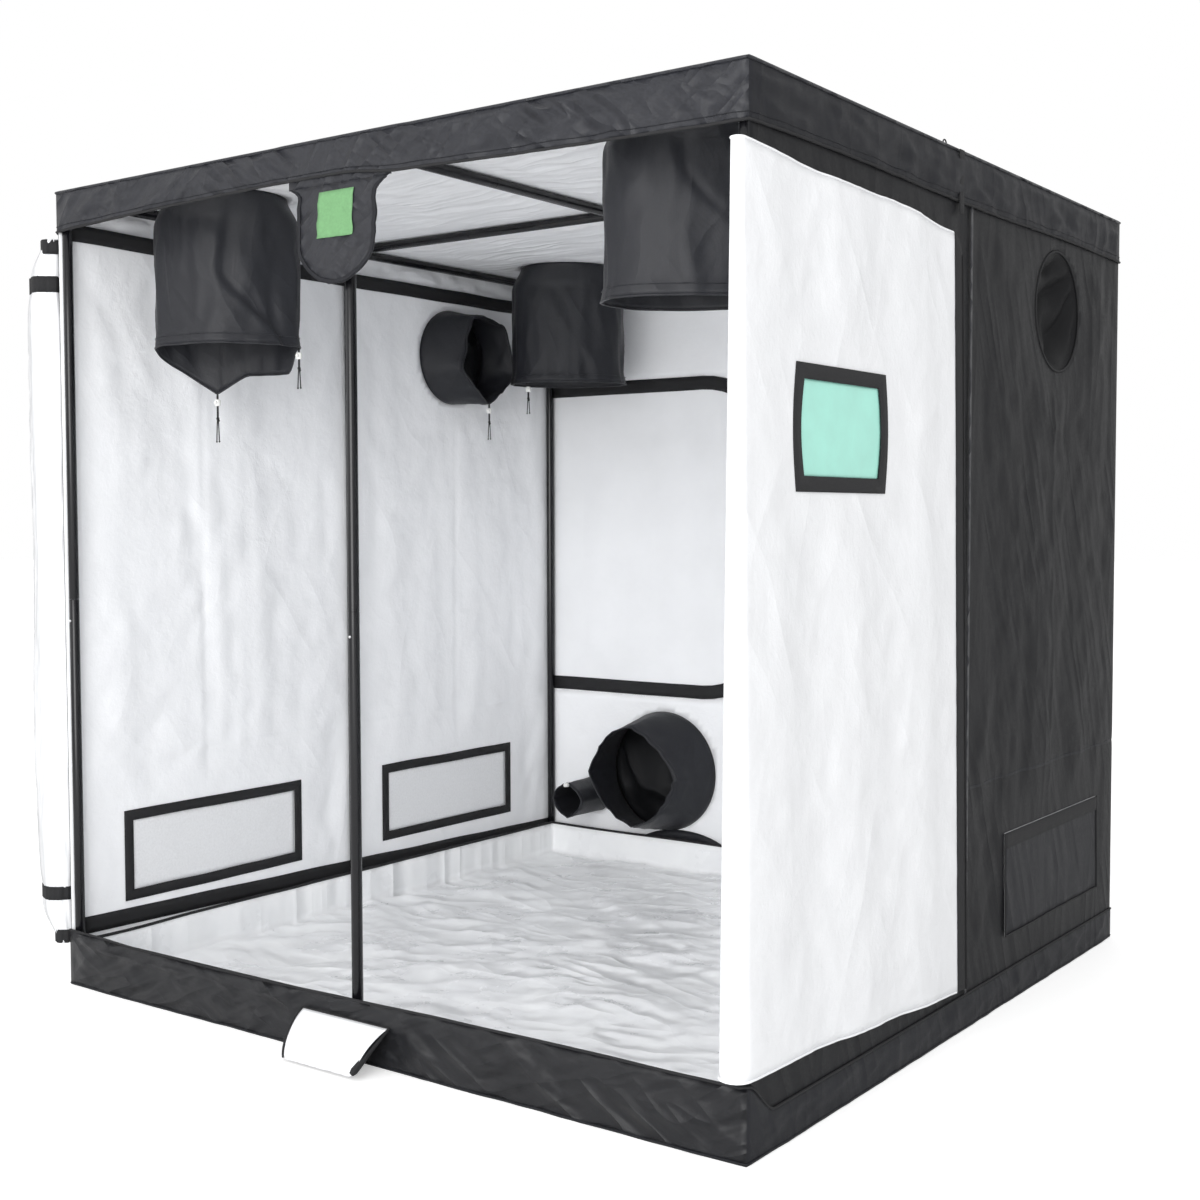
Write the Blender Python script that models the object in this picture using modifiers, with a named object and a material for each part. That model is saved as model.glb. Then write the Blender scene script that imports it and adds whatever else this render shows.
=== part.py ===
"""Indoor grow tent: a steel pole frame under a fabric cover, with duct ports, vents, doors and a spill tray.

Metres, +Z up. The origin is on the floor under the middle of the tent. The front is at -Y, and +X is
to the right for someone who looks in from the front.
"""

import math

import bmesh
import bpy
from mathutils import Matrix, Vector

# The whole tent
WIDTH = 2.0
DEPTH = 2.0
HEIGHT = 2.0
FABRIC = 0.002
TAPE = 0.0012
GAP = 0.0003
OVERRUN = 0.01
MERGE = 0.00001

# The pole frame
POLE_RADIUS = 0.0125
POLE_WALL = 0.0012
POLE_SIDES = 12
SPIGOT_CLEARANCE = 0.0007
COLLAR = 0.03
KNUCKLE_RADIUS = 0.0133
SPIGOT = 0.045
POST_JOINT_HEIGHT = 0.985
SWAGE = 0.08
SWAGE_TAPER = 0.006
GROOVE = 0.0003
ROOF_BAR_JOINT = 0.5

# The spring buttons that lock the posts
BUTTON_DROP = 0.055
BUTTON_RADIUS = 0.0035
BUTTON_CLEARANCE = 0.0004
BUTTON_PROUD = 0.003
BUTTON_DOME = 0.0012
BUTTON_HEAD_RADIUS = 0.0046
BUTTON_HEAD = 0.001
BUTTON_SEAT = 0.0074

# The cover
ROOF_BAND = 0.11
FRONT_BASE_BAND = 0.14
SIDE_BASE_BAND = 0.08
BAND_SLACK_SHARES = ((-1, 1.0), (-0.66, 0.86), (-0.33, 0.8), (0, 0.94), (0.5, 1.04), (1, 1.08))

# The ceiling ports and their socks
PORT_RADIUS = 0.15
PORT_SIDES = 20
CEILING_PORT_FROM_SIDE = 0.3
CEILING_PORT_FROM_FRONT = 0.285
SOCK_LENGTH = 0.375
SOCK_SHEET = 0.0016
SOCK_TURN = math.radians(36)
SOCK_WIDE_SHARE = 1.2
SOCK_DEEP_SHARE = 0.78
SOCK_CREASE_SHARE = 0.09
LONG_SOCK_LOBE = 0.11
SOCK_LOBE_TURN = math.radians(108)

# The wall ports
LEFT_PORT_FROM_REAR = 0.52
RIGHT_PORT_FROM_REAR = 0.465
WALL_PORT_DROP = 0.292
WALL_PORT_SIDES = 24
WALL_SOCK_REACH = 0.11
WALL_SOCK_DRIFT = 0.06
WALL_SOCK_DEEP_SHARE = 0.9

# The low rear ports
INLET_RADIUS = 0.2
INLET_FROM_SIDE = 0.49
INLET_HEIGHT = 0.335
INLET_REACH = 0.15
INLET_DRIFT = 0.035
INLET_MOUTH_SHARE = 0.86
CABLE_PORT_RADIUS = 0.06
CABLE_PORT_FROM_SIDE = 0.205
CABLE_PORT_HEIGHT = 0.232
CABLE_PORT_SIDES = 12
CABLE_SOCK_REACH = 0.17

# The vents low in the side walls
VENT_WIDTH = 0.63
VENT_HEIGHT = 0.24
VENT_BOTTOM = 0.18
VENT_TAPE = 0.028
LEFT_VENT_FROM_FRONT = 0.4825
LEFT_VENT_FROM_REAR = 0.545
RIGHT_VENT_FROM_REAR = 0.46
VENT_NET = 0.0008
FLAP_MARGIN = 0.012

# The rear door
REAR_DOOR_FROM_SIDE = 0.015
REAR_DOOR_RIGHT = -0.03
REAR_DOOR_BOTTOM = 0.585
REAR_DOOR_TOP_DROP = 0.345
REAR_DOOR_RADIUS = 0.33

# The front door's right half, folded back along the right wall
HINGE_OUT = 0.034
LEAF = 0.0016
LEAF_STAND = 0.012
LEAF_LOOP_TOP = 0.014
LEAF_LOOP_BOTTOM = 0.0325
LEAF_SHORT_TOP = 0.1
LEAF_SHORT_BOTTOM = 0.045
LEAF_TOP_DROP = 0.148
LEAF_TOP_SAG = 0.018
LEAF_FRONT_BOTTOM = 0.175
LEAF_FREE_EDGE_BOTTOM = 0.1
LEAF_CORNER = 0.045
LEAF_FOLD = 0.005
LEAF_LOOP_STEPS = 8
LEAF_RUN_STEPS = 13
LEAF_ROWS = 11
ZIP_TAPE = 0.045

# The window in the front door
WINDOW_WIDTH = 0.32
WINDOW_HEIGHT = 0.19
WINDOW_FROM_HINGE = 0.372
WINDOW_DROP = 0.645
WINDOW_BOW = 0.012
PANE = 0.001

# The zip slider on the door's free edge
SLIDER_BODY = 0.007
SLIDER_LENGTH = 0.014
SLIDER_THICKNESS = 0.006
SLIDER_HEIGHT = 0.4
SLIDER_GRIP_SHARE = 0.35
SLIDER_CLEARANCE = 0.0008
SLIDER_PULL = 0.028
SLIDER_PULL_WIDTH = 0.005

# The front door's left half, gathered into a bundle and tied
ROLL_CENTRE_IN = 0.016
ROLL_WIDE = 0.064
ROLL_DEEP = 0.052
ROLL_BOTTOM = 0.105
ROLL_TOP_DROP = 0.112
ROLL_SIDES = 16
ROLL_ROWS = 13
ROLL_FOLD_COUNT = 5
ROLL_FOLD_SHARE = 0.09
ROLL_END_SHARE = 0.42
ROLL_END_RUN_SHARE = 0.07

# The tab over the front centre post
TAB_X = -0.013
TAB_HALF = 0.116
TAB_FLARE = 0.034
TAB_FLARE_DROP = 0.028
TAB_TOP_DROP = 0.096
TAB_SHOULDER = 0.115
TAB_DROP = 0.215

# The flap over the front of the base
SILL_FLAP_HALF = 0.125
SILL_FLAP_X = -0.01
SILL_FLAP_TOP = 0.094
SILL_FLAP_REACH = 0.092
SILL_FLAP_STEPS = 5
SILL_FLAP_CURL = 0.012

# The spill tray
TRAY_CLEARANCE = 0.004
TRAY_SHEET = 0.0015
TRAY_HEIGHT = 0.118

# The drawcords and their locks
CORD_RADIUS = 0.0015
CORD_SPREAD = 0.0019
CORD_STEP = 0.009
LOCK_RADIUS = 0.008
LOCK_LENGTH = 0.017
LOCK_BORE_CLEARANCE = 0.0006
LOCK_SIDES = 10
LOCK_DROP = 0.014

# Places and sizes worked out from the above
HALF_X = WIDTH / 2
HALF_Y = DEPTH / 2
INNER_X = HALF_X - FABRIC
INNER_Y = HALF_Y - FABRIC
POLE_X = INNER_X - GAP - TAPE - GAP - POLE_RADIUS
POLE_Y = INNER_Y - GAP - TAPE - GAP - POLE_RADIUS
BASE_Z = FABRIC + GAP + KNUCKLE_RADIUS
TOP_Z = HEIGHT - FABRIC - GAP - KNUCKLE_RADIUS
BAND_BOTTOM = HEIGHT - ROOF_BAND
BORE_RADIUS = POLE_RADIUS - POLE_WALL
SPIGOT_RADIUS = BORE_RADIUS - SPIGOT_CLEARANCE
RUN_START = COLLAR + GAP
CORNERS = ((-1, -1), (1, -1), (1, 1), (-1, 1))
MIDDLES = ((0, -1), (1, 0), (0, 1), (-1, 0))
MIDDLE_NAMES = ("front", "right", "rear", "left")
BUTTON_HEIGHT = POST_JOINT_HEIGHT - BUTTON_DROP
CEILING_PORT_X = HALF_X - CEILING_PORT_FROM_SIDE
CEILING_PORT_Y = HALF_Y - CEILING_PORT_FROM_FRONT
LEFT_PORT_Y = HALF_Y - LEFT_PORT_FROM_REAR
RIGHT_PORT_Y = HALF_Y - RIGHT_PORT_FROM_REAR
WALL_PORT_HEIGHT = HEIGHT - WALL_PORT_DROP
INLET_X = -HALF_X + INLET_FROM_SIDE
CABLE_PORT_X = -HALF_X + CABLE_PORT_FROM_SIDE
LEFT_VENT_YS = (-HALF_Y + LEFT_VENT_FROM_FRONT, HALF_Y - LEFT_VENT_FROM_REAR)
RIGHT_VENT_Y = HALF_Y - RIGHT_VENT_FROM_REAR
REAR_DOOR_LEFT = -HALF_X + REAR_DOOR_FROM_SIDE
REAR_DOOR_TOP = HEIGHT - REAR_DOOR_TOP_DROP
LEAF_FREE_TOP = HALF_X - LEAF_SHORT_TOP
LEAF_FREE_BOTTOM = HALF_X - LEAF_SHORT_BOTTOM
LEAF_TOP = HEIGHT - LEAF_TOP_DROP
WINDOW_Y = -HALF_Y - HINGE_OUT + WINDOW_FROM_HINGE
WINDOW_Z = HEIGHT - WINDOW_DROP
ROLL_TOP = HEIGHT - ROLL_TOP_DROP
TAB_TOP = HEIGHT - TAB_TOP_DROP
SHARP_ANGLE = math.radians(40)


# Materials
def make_material(name, colour, roughness, metallic):
    material = bpy.data.materials.new(name)
    material.use_nodes = True
    shader = material.node_tree.nodes["Principled BSDF"]
    shader.inputs["Base Color"].default_value = (*colour, 1)
    shader.inputs["Roughness"].default_value = roughness
    shader.inputs["Metallic"].default_value = metallic
    material.diffuse_color = (*colour, 1)
    return material


def make_materials():
    return {
        "black_oxford": make_material("black_oxford", (0.035, 0.036, 0.042), 0.75, 0),
        "white_liner": make_material("white_liner", (0.8, 0.81, 0.83), 0.45, 0),
        "black_tape": make_material("black_tape", (0.012, 0.012, 0.014), 0.85, 0),
        "black_sock": make_material("black_sock", (0.02, 0.021, 0.024), 0.8, 0),
        "pole_steel": make_material("pole_steel", (0.02, 0.02, 0.022), 0.25, 0.6),
        "button_steel": make_material("button_steel", (0.7, 0.7, 0.72), 0.25, 1),
        "green_pane": make_material("green_pane", (0.34, 0.73, 0.56), 0.3, 0),
        "vent_net": make_material("vent_net", (0.05, 0.05, 0.055), 0.9, 0),
        "tray_liner": make_material("tray_liner", (0.78, 0.79, 0.82), 0.25, 0),
        "black_cord": make_material("black_cord", (0.015, 0.015, 0.017), 0.7, 0),
        "white_plastic": make_material("white_plastic", (0.85, 0.85, 0.83), 0.3, 0),
    }


# Scene and objects
def clear_scene():
    for obj in list(bpy.data.objects):
        bpy.data.objects.remove(obj, do_unlink=True)


def make_collection(name):
    collection = bpy.data.collections.new(name)
    bpy.context.scene.collection.children.link(collection)
    return collection


clear_scene()
TENT = make_collection("indoor_grow_tent")
CUTTERS = make_collection("cutters")
MATERIALS = make_materials()


def add_object(name, data, slot, collection=TENT):
    obj = bpy.data.objects.new(name, data)
    collection.objects.link(obj)
    if not data.materials:
        data.materials.append(MATERIALS[slot])
    return obj


def settle_mesh(obj):
    """The evaluated mesh of an object, in world space, welded, with its faces out. The object is removed."""
    bpy.context.view_layer.update()
    evaluated = obj.evaluated_get(bpy.context.evaluated_depsgraph_get())
    mesh = bpy.data.meshes.new_from_object(evaluated)
    mesh.transform(obj.matrix_world)
    shape = bmesh.new()
    shape.from_mesh(mesh)
    bmesh.ops.remove_doubles(shape, verts=shape.verts, dist=MERGE)
    bmesh.ops.recalc_face_normals(shape, faces=shape.faces)
    shape.to_mesh(mesh)
    shape.free()
    bpy.data.objects.remove(obj, do_unlink=True)
    return mesh


def placed_mesh(mesh, matrix):
    """A copy of a mesh, moved by a matrix. One that mirrors it turns its faces out again."""
    copy = mesh.copy()
    copy.transform(matrix)
    if matrix.determinant() < 0:
        copy.flip_normals()
    return copy


def add_mesh(name, mesh, slot, place=(0, 0, 0)):
    """An object for a mesh, with its origin at a place. The mesh keeps its own axes."""
    obj = add_object(name, smooth(mesh), slot)
    obj.location = place
    return obj


def hinge_at(obj, point):
    """Moves an object's origin onto its joint's axis and leaves its shape where it is."""
    bpy.context.view_layer.update()
    obj.data.transform(Matrix.Translation(-Vector(point)) @ obj.matrix_world)
    obj.matrix_world = Matrix.Translation(point)
    return obj


def smooth(mesh):
    """Shades a mesh smooth, except across its corners and along its open edges."""
    mesh.shade_smooth()
    mesh.set_sharp_from_angle(angle=SHARP_ANGLE)
    shape = bmesh.new()
    shape.from_mesh(mesh)
    for edge in shape.edges:
        if edge.is_boundary:
            edge.smooth = False
    shape.to_mesh(mesh)
    shape.free()
    return mesh


def at(x, y, z):
    return Matrix.Translation((x, y, z))


def pointing(direction):
    """The rotation that carries +Z to a direction."""
    return Vector(direction).to_track_quat("Z", "Y").to_matrix().to_4x4()


# Shapes
def box_mesh(low, high):
    shape = bmesh.new()
    bmesh.ops.create_cube(shape, size=1)
    low = Vector(low)
    high = Vector(high)
    bmesh.ops.scale(shape, vec=high - low, verts=shape.verts)
    bmesh.ops.translate(shape, vec=(low + high) / 2, verts=shape.verts)
    mesh = bpy.data.meshes.new("box")
    shape.to_mesh(mesh)
    shape.free()
    return mesh


def turned_object(profile, closed, sides):
    """A profile of (radius, height), down its outer side, turned about Z by a Screw modifier."""
    mesh = bpy.data.meshes.new("profile")
    points = [(radius, 0, height) for radius, height in profile]
    edges = [(i, i + 1) for i in range(len(points) - 1)]
    if closed:
        edges.append((len(points) - 1, 0))
    mesh.from_pydata(points, edges, [])
    obj = bpy.data.objects.new("turned", mesh)
    TENT.objects.link(obj)
    screw = obj.modifiers.new("turn", "SCREW")
    screw.axis = "Z"
    screw.angle = 2 * math.pi
    screw.steps = sides
    screw.render_steps = sides
    screw.use_merge_vertices = True
    screw.merge_threshold = MERGE
    return obj


def turned_mesh(profile, closed=False, sides=POLE_SIDES):
    return settle_mesh(turned_object(profile, closed, sides))


def combine(first, second, operation):
    """Cuts one mesh with another, or joins the two, and gives the resulting mesh."""
    base = bpy.data.objects.new("base", first.copy())
    tool = bpy.data.objects.new("tool", second.copy())
    TENT.objects.link(base)
    CUTTERS.objects.link(tool)
    tool.hide_render = True
    tool.display_type = "WIRE"
    boolean = base.modifiers.new("combine", "BOOLEAN")
    boolean.operation = operation
    boolean.object = tool
    boolean.solver = "EXACT"
    result = settle_mesh(base)
    bpy.data.objects.remove(tool, do_unlink=True)
    return result


def unite(meshes):
    body = meshes[0]
    for mesh in meshes[1:]:
        body = combine(body, mesh, "UNION")
    return body


# Flat fabric panels, each drawn as an outline with holes
def add_panel(name, outline, holes, frame, thickness, slot):
    curve = bpy.data.curves.new(name, "CURVE")
    curve.dimensions = "2D"
    curve.fill_mode = "BOTH"
    curve.extrude = thickness / 2
    for loop in [outline] + list(holes):
        spline = curve.splines.new("POLY")
        spline.points.add(len(loop) - 1)
        for point, (u, v) in zip(spline.points, loop):
            point.co = (u, v, 0, 1)
        spline.use_cyclic_u = True
    obj = add_object(name, curve, slot)
    obj.matrix_world = frame
    return obj


def add_hinged_panel(name, outline, frame, thickness, slot, point):
    """A flat panel that turns about a point: its origin is there and its shape stays in its frame."""
    mesh = settle_mesh(add_panel(name, outline, [], frame, thickness, slot))
    mesh.transform(Matrix.Translation(-Vector(point)))
    return add_mesh(name, mesh, slot, point)


def plane_across_x(x):
    """Panels that face along X: the outline's first axis is world Y and its second world Z."""
    return Matrix(((0, 0, 1, x), (1, 0, 0, 0), (0, 1, 0, 0), (0, 0, 0, 1)))


def plane_across_y(y):
    """Panels that face along Y: the outline's first axis is world X and its second world Z."""
    return Matrix(((1, 0, 0, 0), (0, 0, -1, y), (0, 1, 0, 0), (0, 0, 0, 1)))


def plane_across_z(z):
    return Matrix.Translation((0, 0, z))


def rectangle(left, right, bottom, top):
    return [(left, bottom), (right, bottom), (right, top), (left, top)]


def arc(centre, radii, start, end, steps):
    points = []
    for i in range(steps + 1):
        angle = math.radians(start + (end - start) * i / steps)
        points.append((centre[0] + radii[0] * math.cos(angle), centre[1] + radii[1] * math.sin(angle)))
    return points


def circle(centre, radius, sides=PORT_SIDES):
    return arc(centre, (radius, radius), 0, 360, sides)[:-1]


# Lofted fabric: rings of points joined into a sheet, then given a thickness
def loft_mesh(rings, ring_closed):
    shape = bmesh.new()
    rows = [[shape.verts.new(point) for point in ring] for ring in rings]
    for lower, upper in zip(rows, rows[1:]):
        count = len(lower)
        for i in range(count if ring_closed else count - 1):
            j = (i + 1) % count
            shape.faces.new((lower[i], lower[j], upper[j], upper[i]))
    mesh = bpy.data.meshes.new("loft")
    shape.to_mesh(mesh)
    shape.free()
    return mesh


def thicken(obj, thickness, inward):
    solidify = obj.modifiers.new("thickness", "SOLIDIFY")
    solidify.thickness = thickness
    solidify.offset = -1 if inward else 1
    solidify.use_even_offset = True
    return obj


def add_sheet(name, rings, ring_closed, thickness, inward, slot):
    obj = add_object(name, smooth(loft_mesh(rings, ring_closed)), slot)
    return thicken(obj, thickness, inward)


def cap_ends(mesh):
    """Closes a lofted tube's two ends, for a solid form."""
    shape = bmesh.new()
    shape.from_mesh(mesh)
    edges = [edge for edge in shape.edges if edge.is_boundary]
    bmesh.ops.holes_fill(shape, edges=edges, sides=0)
    bmesh.ops.recalc_face_normals(shape, faces=shape.faces)
    shape.to_mesh(mesh)
    shape.free()
    return mesh


# The pole frame
def arm_mesh(direction):
    """One arm of a connector: a collar as wide as the poles and a spigot that slides into one."""
    profile = [
        (0, COLLAR + SPIGOT),
        (SPIGOT_RADIUS, COLLAR + SPIGOT),
        (SPIGOT_RADIUS, COLLAR),
        (POLE_RADIUS, COLLAR),
        (POLE_RADIUS, 0),
        (0, 0),
    ]
    profile.reverse()
    return placed_mesh(turned_mesh(profile), pointing(direction))


def knuckle_mesh():
    shape = bmesh.new()
    bmesh.ops.create_uvsphere(shape, u_segments=POLE_SIDES, v_segments=POLE_SIDES // 2, radius=KNUCKLE_RADIUS)
    mesh = bpy.data.meshes.new("knuckle")
    shape.to_mesh(mesh)
    shape.free()
    return mesh


def connector_mesh(directions):
    return unite([knuckle_mesh()] + [arm_mesh(direction) for direction in directions])


def grooved(start, end, joints):
    """A pole's outer side from end down to start, with a fine groove where two lengths meet."""
    profile = [(POLE_RADIUS, end)]
    for joint in sorted(joints, reverse=True):
        profile.append((POLE_RADIUS, joint + GROOVE))
        profile.append((POLE_RADIUS - GROOVE, joint + GROOVE))
        profile.append((POLE_RADIUS - GROOVE, joint - GROOVE))
        profile.append((POLE_RADIUS, joint - GROOVE))
    profile.append((POLE_RADIUS, start))
    return profile


def tube_mesh(start, end, joints=()):
    """A length of pole, open at both ends, along Z."""
    profile = grooved(start, end, joints) + [(BORE_RADIUS, start), (BORE_RADIUS, end)]
    return turned_mesh(profile, closed=True)


def swaged_mesh(start, end):
    """A length of pole whose lower end is drawn down to slide into the next length."""
    small_bore = SPIGOT_RADIUS - POLE_WALL
    profile = [
        (POLE_RADIUS, end),
        (POLE_RADIUS, start),
        (SPIGOT_RADIUS, start),
        (SPIGOT_RADIUS, start - SWAGE),
        (small_bore, start - SWAGE),
        (small_bore, start),
        (BORE_RADIUS, start + SWAGE_TAPER),
        (BORE_RADIUS, end),
    ]
    return turned_mesh(profile, closed=True)


def make_base_frame():
    """The ring on the floor: a rail along each side with a tee in its middle, and the four corners."""
    up = arm_mesh((0, 0, 1))
    pieces = []
    for axis, half, across in (((1, 0, 0), POLE_X, POLE_Y), ((0, 1, 0), POLE_Y, POLE_X)):
        solid = [(0, half), (POLE_RADIUS, half), (POLE_RADIUS, -half), (0, -half)]
        rail = placed_mesh(turned_mesh(solid), pointing(axis))
        for side in (-across, across):
            place = Vector((0, side, BASE_Z)) if axis[0] else Vector((side, 0, BASE_Z))
            for mesh in (rail, knuckle_mesh(), up):
                pieces.append(placed_mesh(mesh, Matrix.Translation(place)))
    for sx, sy in CORNERS:
        place = Matrix.Translation((sx * POLE_X, sy * POLE_Y, BASE_Z))
        pieces.append(placed_mesh(knuckle_mesh(), place))
        pieces.append(placed_mesh(up, place))
    add_mesh("base_frame", unite(pieces), "pole_steel")


def make_top_rails():
    """Each top rail carries a tee in its middle, for the mid post below it and the roof bar inside it."""
    down = arm_mesh((0, 0, -1))
    for name, (sx, sy) in zip(MIDDLE_NAMES, MIDDLES):
        half = POLE_Y if sx else POLE_X
        along = (0, 1, 0) if sx else (1, 0, 0)
        rail = tube_mesh(-half + RUN_START, half - RUN_START, (-COLLAR, COLLAR))
        rail = placed_mesh(rail, pointing(along))
        tee = unite([rail, knuckle_mesh(), down, arm_mesh((-sx, -sy, 0))])
        add_mesh(f"{name}_top_rail", tee, "pole_steel", (sx * POLE_X, sy * POLE_Y, TOP_Z))


def roof_arm_mesh(end):
    """One side of a roof bar, from the middle of the tent out to a top rail's tee."""
    return tube_mesh(RUN_START, end - RUN_START, (ROOF_BAR_JOINT,))


def make_roof_bars():
    """The bar from front to rear carries the cross fitting. The bar across it is in two halves."""
    long_bar = tube_mesh(-POLE_Y + RUN_START, POLE_Y - RUN_START, (-ROOF_BAR_JOINT, -COLLAR, COLLAR, ROOF_BAR_JOINT))
    long_bar = placed_mesh(long_bar, pointing((0, 1, 0)))
    cross = unite([long_bar, knuckle_mesh(), arm_mesh((1, 0, 0)), arm_mesh((-1, 0, 0))])
    add_mesh("roof_bar_with_cross", cross, "pole_steel", (0, 0, TOP_Z))
    for name, sign in (("left", -1), ("right", 1)):
        arm = placed_mesh(roof_arm_mesh(POLE_X), pointing((sign, 0, 0)))
        add_mesh(f"roof_bar_{name}", arm, "pole_steel", (0, 0, TOP_Z))


def button_hole_mesh():
    """The hole for a spring button, from inside the post out through its front."""
    reach = POLE_RADIUS + OVERRUN
    radius = BUTTON_RADIUS + BUTTON_CLEARANCE
    profile = [(0, reach), (radius, reach), (radius, 0), (0, 0)]
    return placed_mesh(turned_mesh(profile), at(0, 0, BUTTON_HEIGHT) @ pointing((0, -1, 0)))


def top_corner_mesh(sx, sy):
    """The three-way fitting of a top corner: two arms into the top rails and one down into the post."""
    return connector_mesh([(-sx, 0, 0), (0, -sy, 0), (0, 0, -1)])


def make_front_posts():
    """Each front corner post is two lengths, one slid into the other and locked by a spring button."""
    hole = button_hole_mesh()
    lower = combine(tube_mesh(BASE_Z + RUN_START, POST_JOINT_HEIGHT - GAP), hole, "DIFFERENCE")
    upper = combine(swaged_mesh(POST_JOINT_HEIGHT, TOP_Z - RUN_START), hole, "DIFFERENCE")
    button = button_mesh()
    for name, sx in (("front_left", -1), ("front_right", 1)):
        place = (sx * POLE_X, -POLE_Y, 0)
        add_mesh(f"{name}_post_lower", lower.copy(), "pole_steel", place)
        add_mesh(f"{name}_post_upper", upper.copy(), "pole_steel", place)
        height = (sx * POLE_X, -POLE_Y, BUTTON_HEIGHT)
        add_mesh(f"{name}_snap_button", button.copy(), "button_steel", height)
        corner = (sx * POLE_X, -POLE_Y, TOP_Z)
        add_mesh(f"{name}_top_corner", top_corner_mesh(sx, -1), "pole_steel", corner)


def button_mesh():
    """A domed pin that stands out of its hole, held behind the post's wall by a wider head."""
    tip = POLE_RADIUS + BUTTON_PROUD
    profile = [
        (0, tip),
        (BUTTON_RADIUS - BUTTON_DOME, tip),
        (BUTTON_RADIUS, tip - BUTTON_DOME),
        (BUTTON_RADIUS, BUTTON_SEAT),
        (BUTTON_HEAD_RADIUS, BUTTON_SEAT),
        (BUTTON_HEAD_RADIUS, BUTTON_SEAT - BUTTON_HEAD),
        (0, BUTTON_SEAT - BUTTON_HEAD),
    ]
    return placed_mesh(turned_mesh(profile), pointing((0, -1, 0)))


def make_rear_posts():
    """Each rear corner post and the three-way fitting at its top are one body."""
    foot = BASE_Z + RUN_START
    head = TOP_Z - COLLAR
    outside = [(0, TOP_Z)] + grooved(foot, TOP_Z, (POST_JOINT_HEIGHT, head))
    post = turned_mesh(outside + [(BORE_RADIUS, foot), (BORE_RADIUS, head), (0, head)])
    for name, sx in (("rear_left", -1), ("rear_right", 1)):
        corner = placed_mesh(connector_mesh([(-sx, 0, 0), (0, -1, 0)]), at(0, 0, TOP_Z))
        add_mesh(f"{name}_post", unite([post, corner]), "pole_steel", (sx * POLE_X, POLE_Y, 0))


def make_mid_posts():
    post = tube_mesh(BASE_Z + RUN_START, TOP_Z - RUN_START, (POST_JOINT_HEIGHT,))
    for name, (sx, sy) in zip(MIDDLE_NAMES, MIDDLES):
        add_mesh(f"{name}_mid_post", post.copy(), "pole_steel", (sx * POLE_X, sy * POLE_Y, 0))


def make_frame():
    make_base_frame()
    make_top_rails()
    make_roof_bars()
    make_front_posts()
    make_rear_posts()
    make_mid_posts()


# The roof, its band and the floor pan
def make_roof():
    holes = [circle((sx * CEILING_PORT_X, sy * CEILING_PORT_Y), PORT_RADIUS) for sx, sy in CORNERS]
    outline = rectangle(-HALF_X, HALF_X, -HALF_Y, HALF_Y)
    add_panel("roof_panel", outline, holes, plane_across_z(HEIGHT - FABRIC / 2), FABRIC, "white_liner")


def sleeve_mesh(bottom, top):
    """An upright band of fabric that runs round all four sides."""
    outline = rectangle(-HALF_X, HALF_X, -HALF_Y, HALF_Y)
    hole = rectangle(-INNER_X, INNER_X, -INNER_Y, INNER_Y)
    frame = plane_across_z((bottom + top) / 2)
    return settle_mesh(add_panel("sleeve", outline, [hole], frame, top - bottom, "black_oxford"))


def make_roof_band():
    add_mesh("roof_band", sleeve_mesh(BAND_BOTTOM, HEIGHT - FABRIC - GAP), "black_oxford")


def front_band_edge():
    """Heights along the slack top edge of the base's front."""
    rise = FRONT_BASE_BAND - SIDE_BASE_BAND
    return [SIDE_BASE_BAND + height_share * rise for along_share, height_share in BAND_SLACK_SHARES]


def front_band_mesh():
    """The front of the base stands higher than the sides."""
    edge = [(shares[0] * HALF_X, z) for shares, z in zip(BAND_SLACK_SHARES, front_band_edge())]
    outline = [(-HALF_X, FABRIC), (HALF_X, FABRIC)] + list(reversed(edge))
    frame = plane_across_y(-HALF_Y + FABRIC / 2)
    return settle_mesh(add_panel("front_band", outline, [], frame, FABRIC, "black_oxford"))


def make_floor_pan():
    floor = box_mesh((-HALF_X, -HALF_Y, 0), (HALF_X, HALF_Y, FABRIC))
    band = sleeve_mesh(FABRIC / 2, SIDE_BASE_BAND)
    add_mesh("floor_pan", unite([floor, band, front_band_mesh()]), "black_oxford")


# The walls
def vent_span(y):
    return y - VENT_WIDTH / 2, y + VENT_WIDTH / 2


def vent_hole(y):
    """The opening inside a vent's tape frame."""
    start, end = vent_span(y)
    return rectangle(
        start + VENT_TAPE, end - VENT_TAPE, VENT_BOTTOM + VENT_TAPE, VENT_BOTTOM + VENT_HEIGHT - VENT_TAPE
    )


def make_side_wall(side, sign, port_y, vent_ys):
    """A side wall, stepped back at its lower front corner behind the front of the floor pan."""
    frame = plane_across_x(sign * (HALF_X - FABRIC / 2))
    behind = -INNER_Y + GAP
    bottom = SIDE_BASE_BAND + GAP
    top = BAND_BOTTOM - GAP
    step = max(front_band_edge()) + GAP
    outline = [(behind, bottom), (HALF_Y, bottom), (HALF_Y, top), (-HALF_Y, top), (-HALF_Y, step), (behind, step)]
    port = circle((port_y, WALL_PORT_HEIGHT), PORT_RADIUS, WALL_PORT_SIDES)
    holes = [vent_hole(y) for y in vent_ys] + [port]
    add_panel(f"{side}_wall", outline, holes, frame, FABRIC, "white_liner")


def door_edge(inset):
    """The rear door's outline: straight on its hinge side and round at its two free corners."""
    left = REAR_DOOR_LEFT + inset
    right = REAR_DOOR_RIGHT - inset
    bottom = REAR_DOOR_BOTTOM + inset
    top = REAR_DOOR_TOP - inset
    radius = REAR_DOOR_RADIUS - inset
    upper = arc((right - radius, top - radius), (radius, radius), 90, 0, 6)
    lower = arc((right - radius, bottom + radius), (radius, radius), 0, -90, 6)
    return [(left, top)] + upper + lower + [(left, bottom)]


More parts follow.
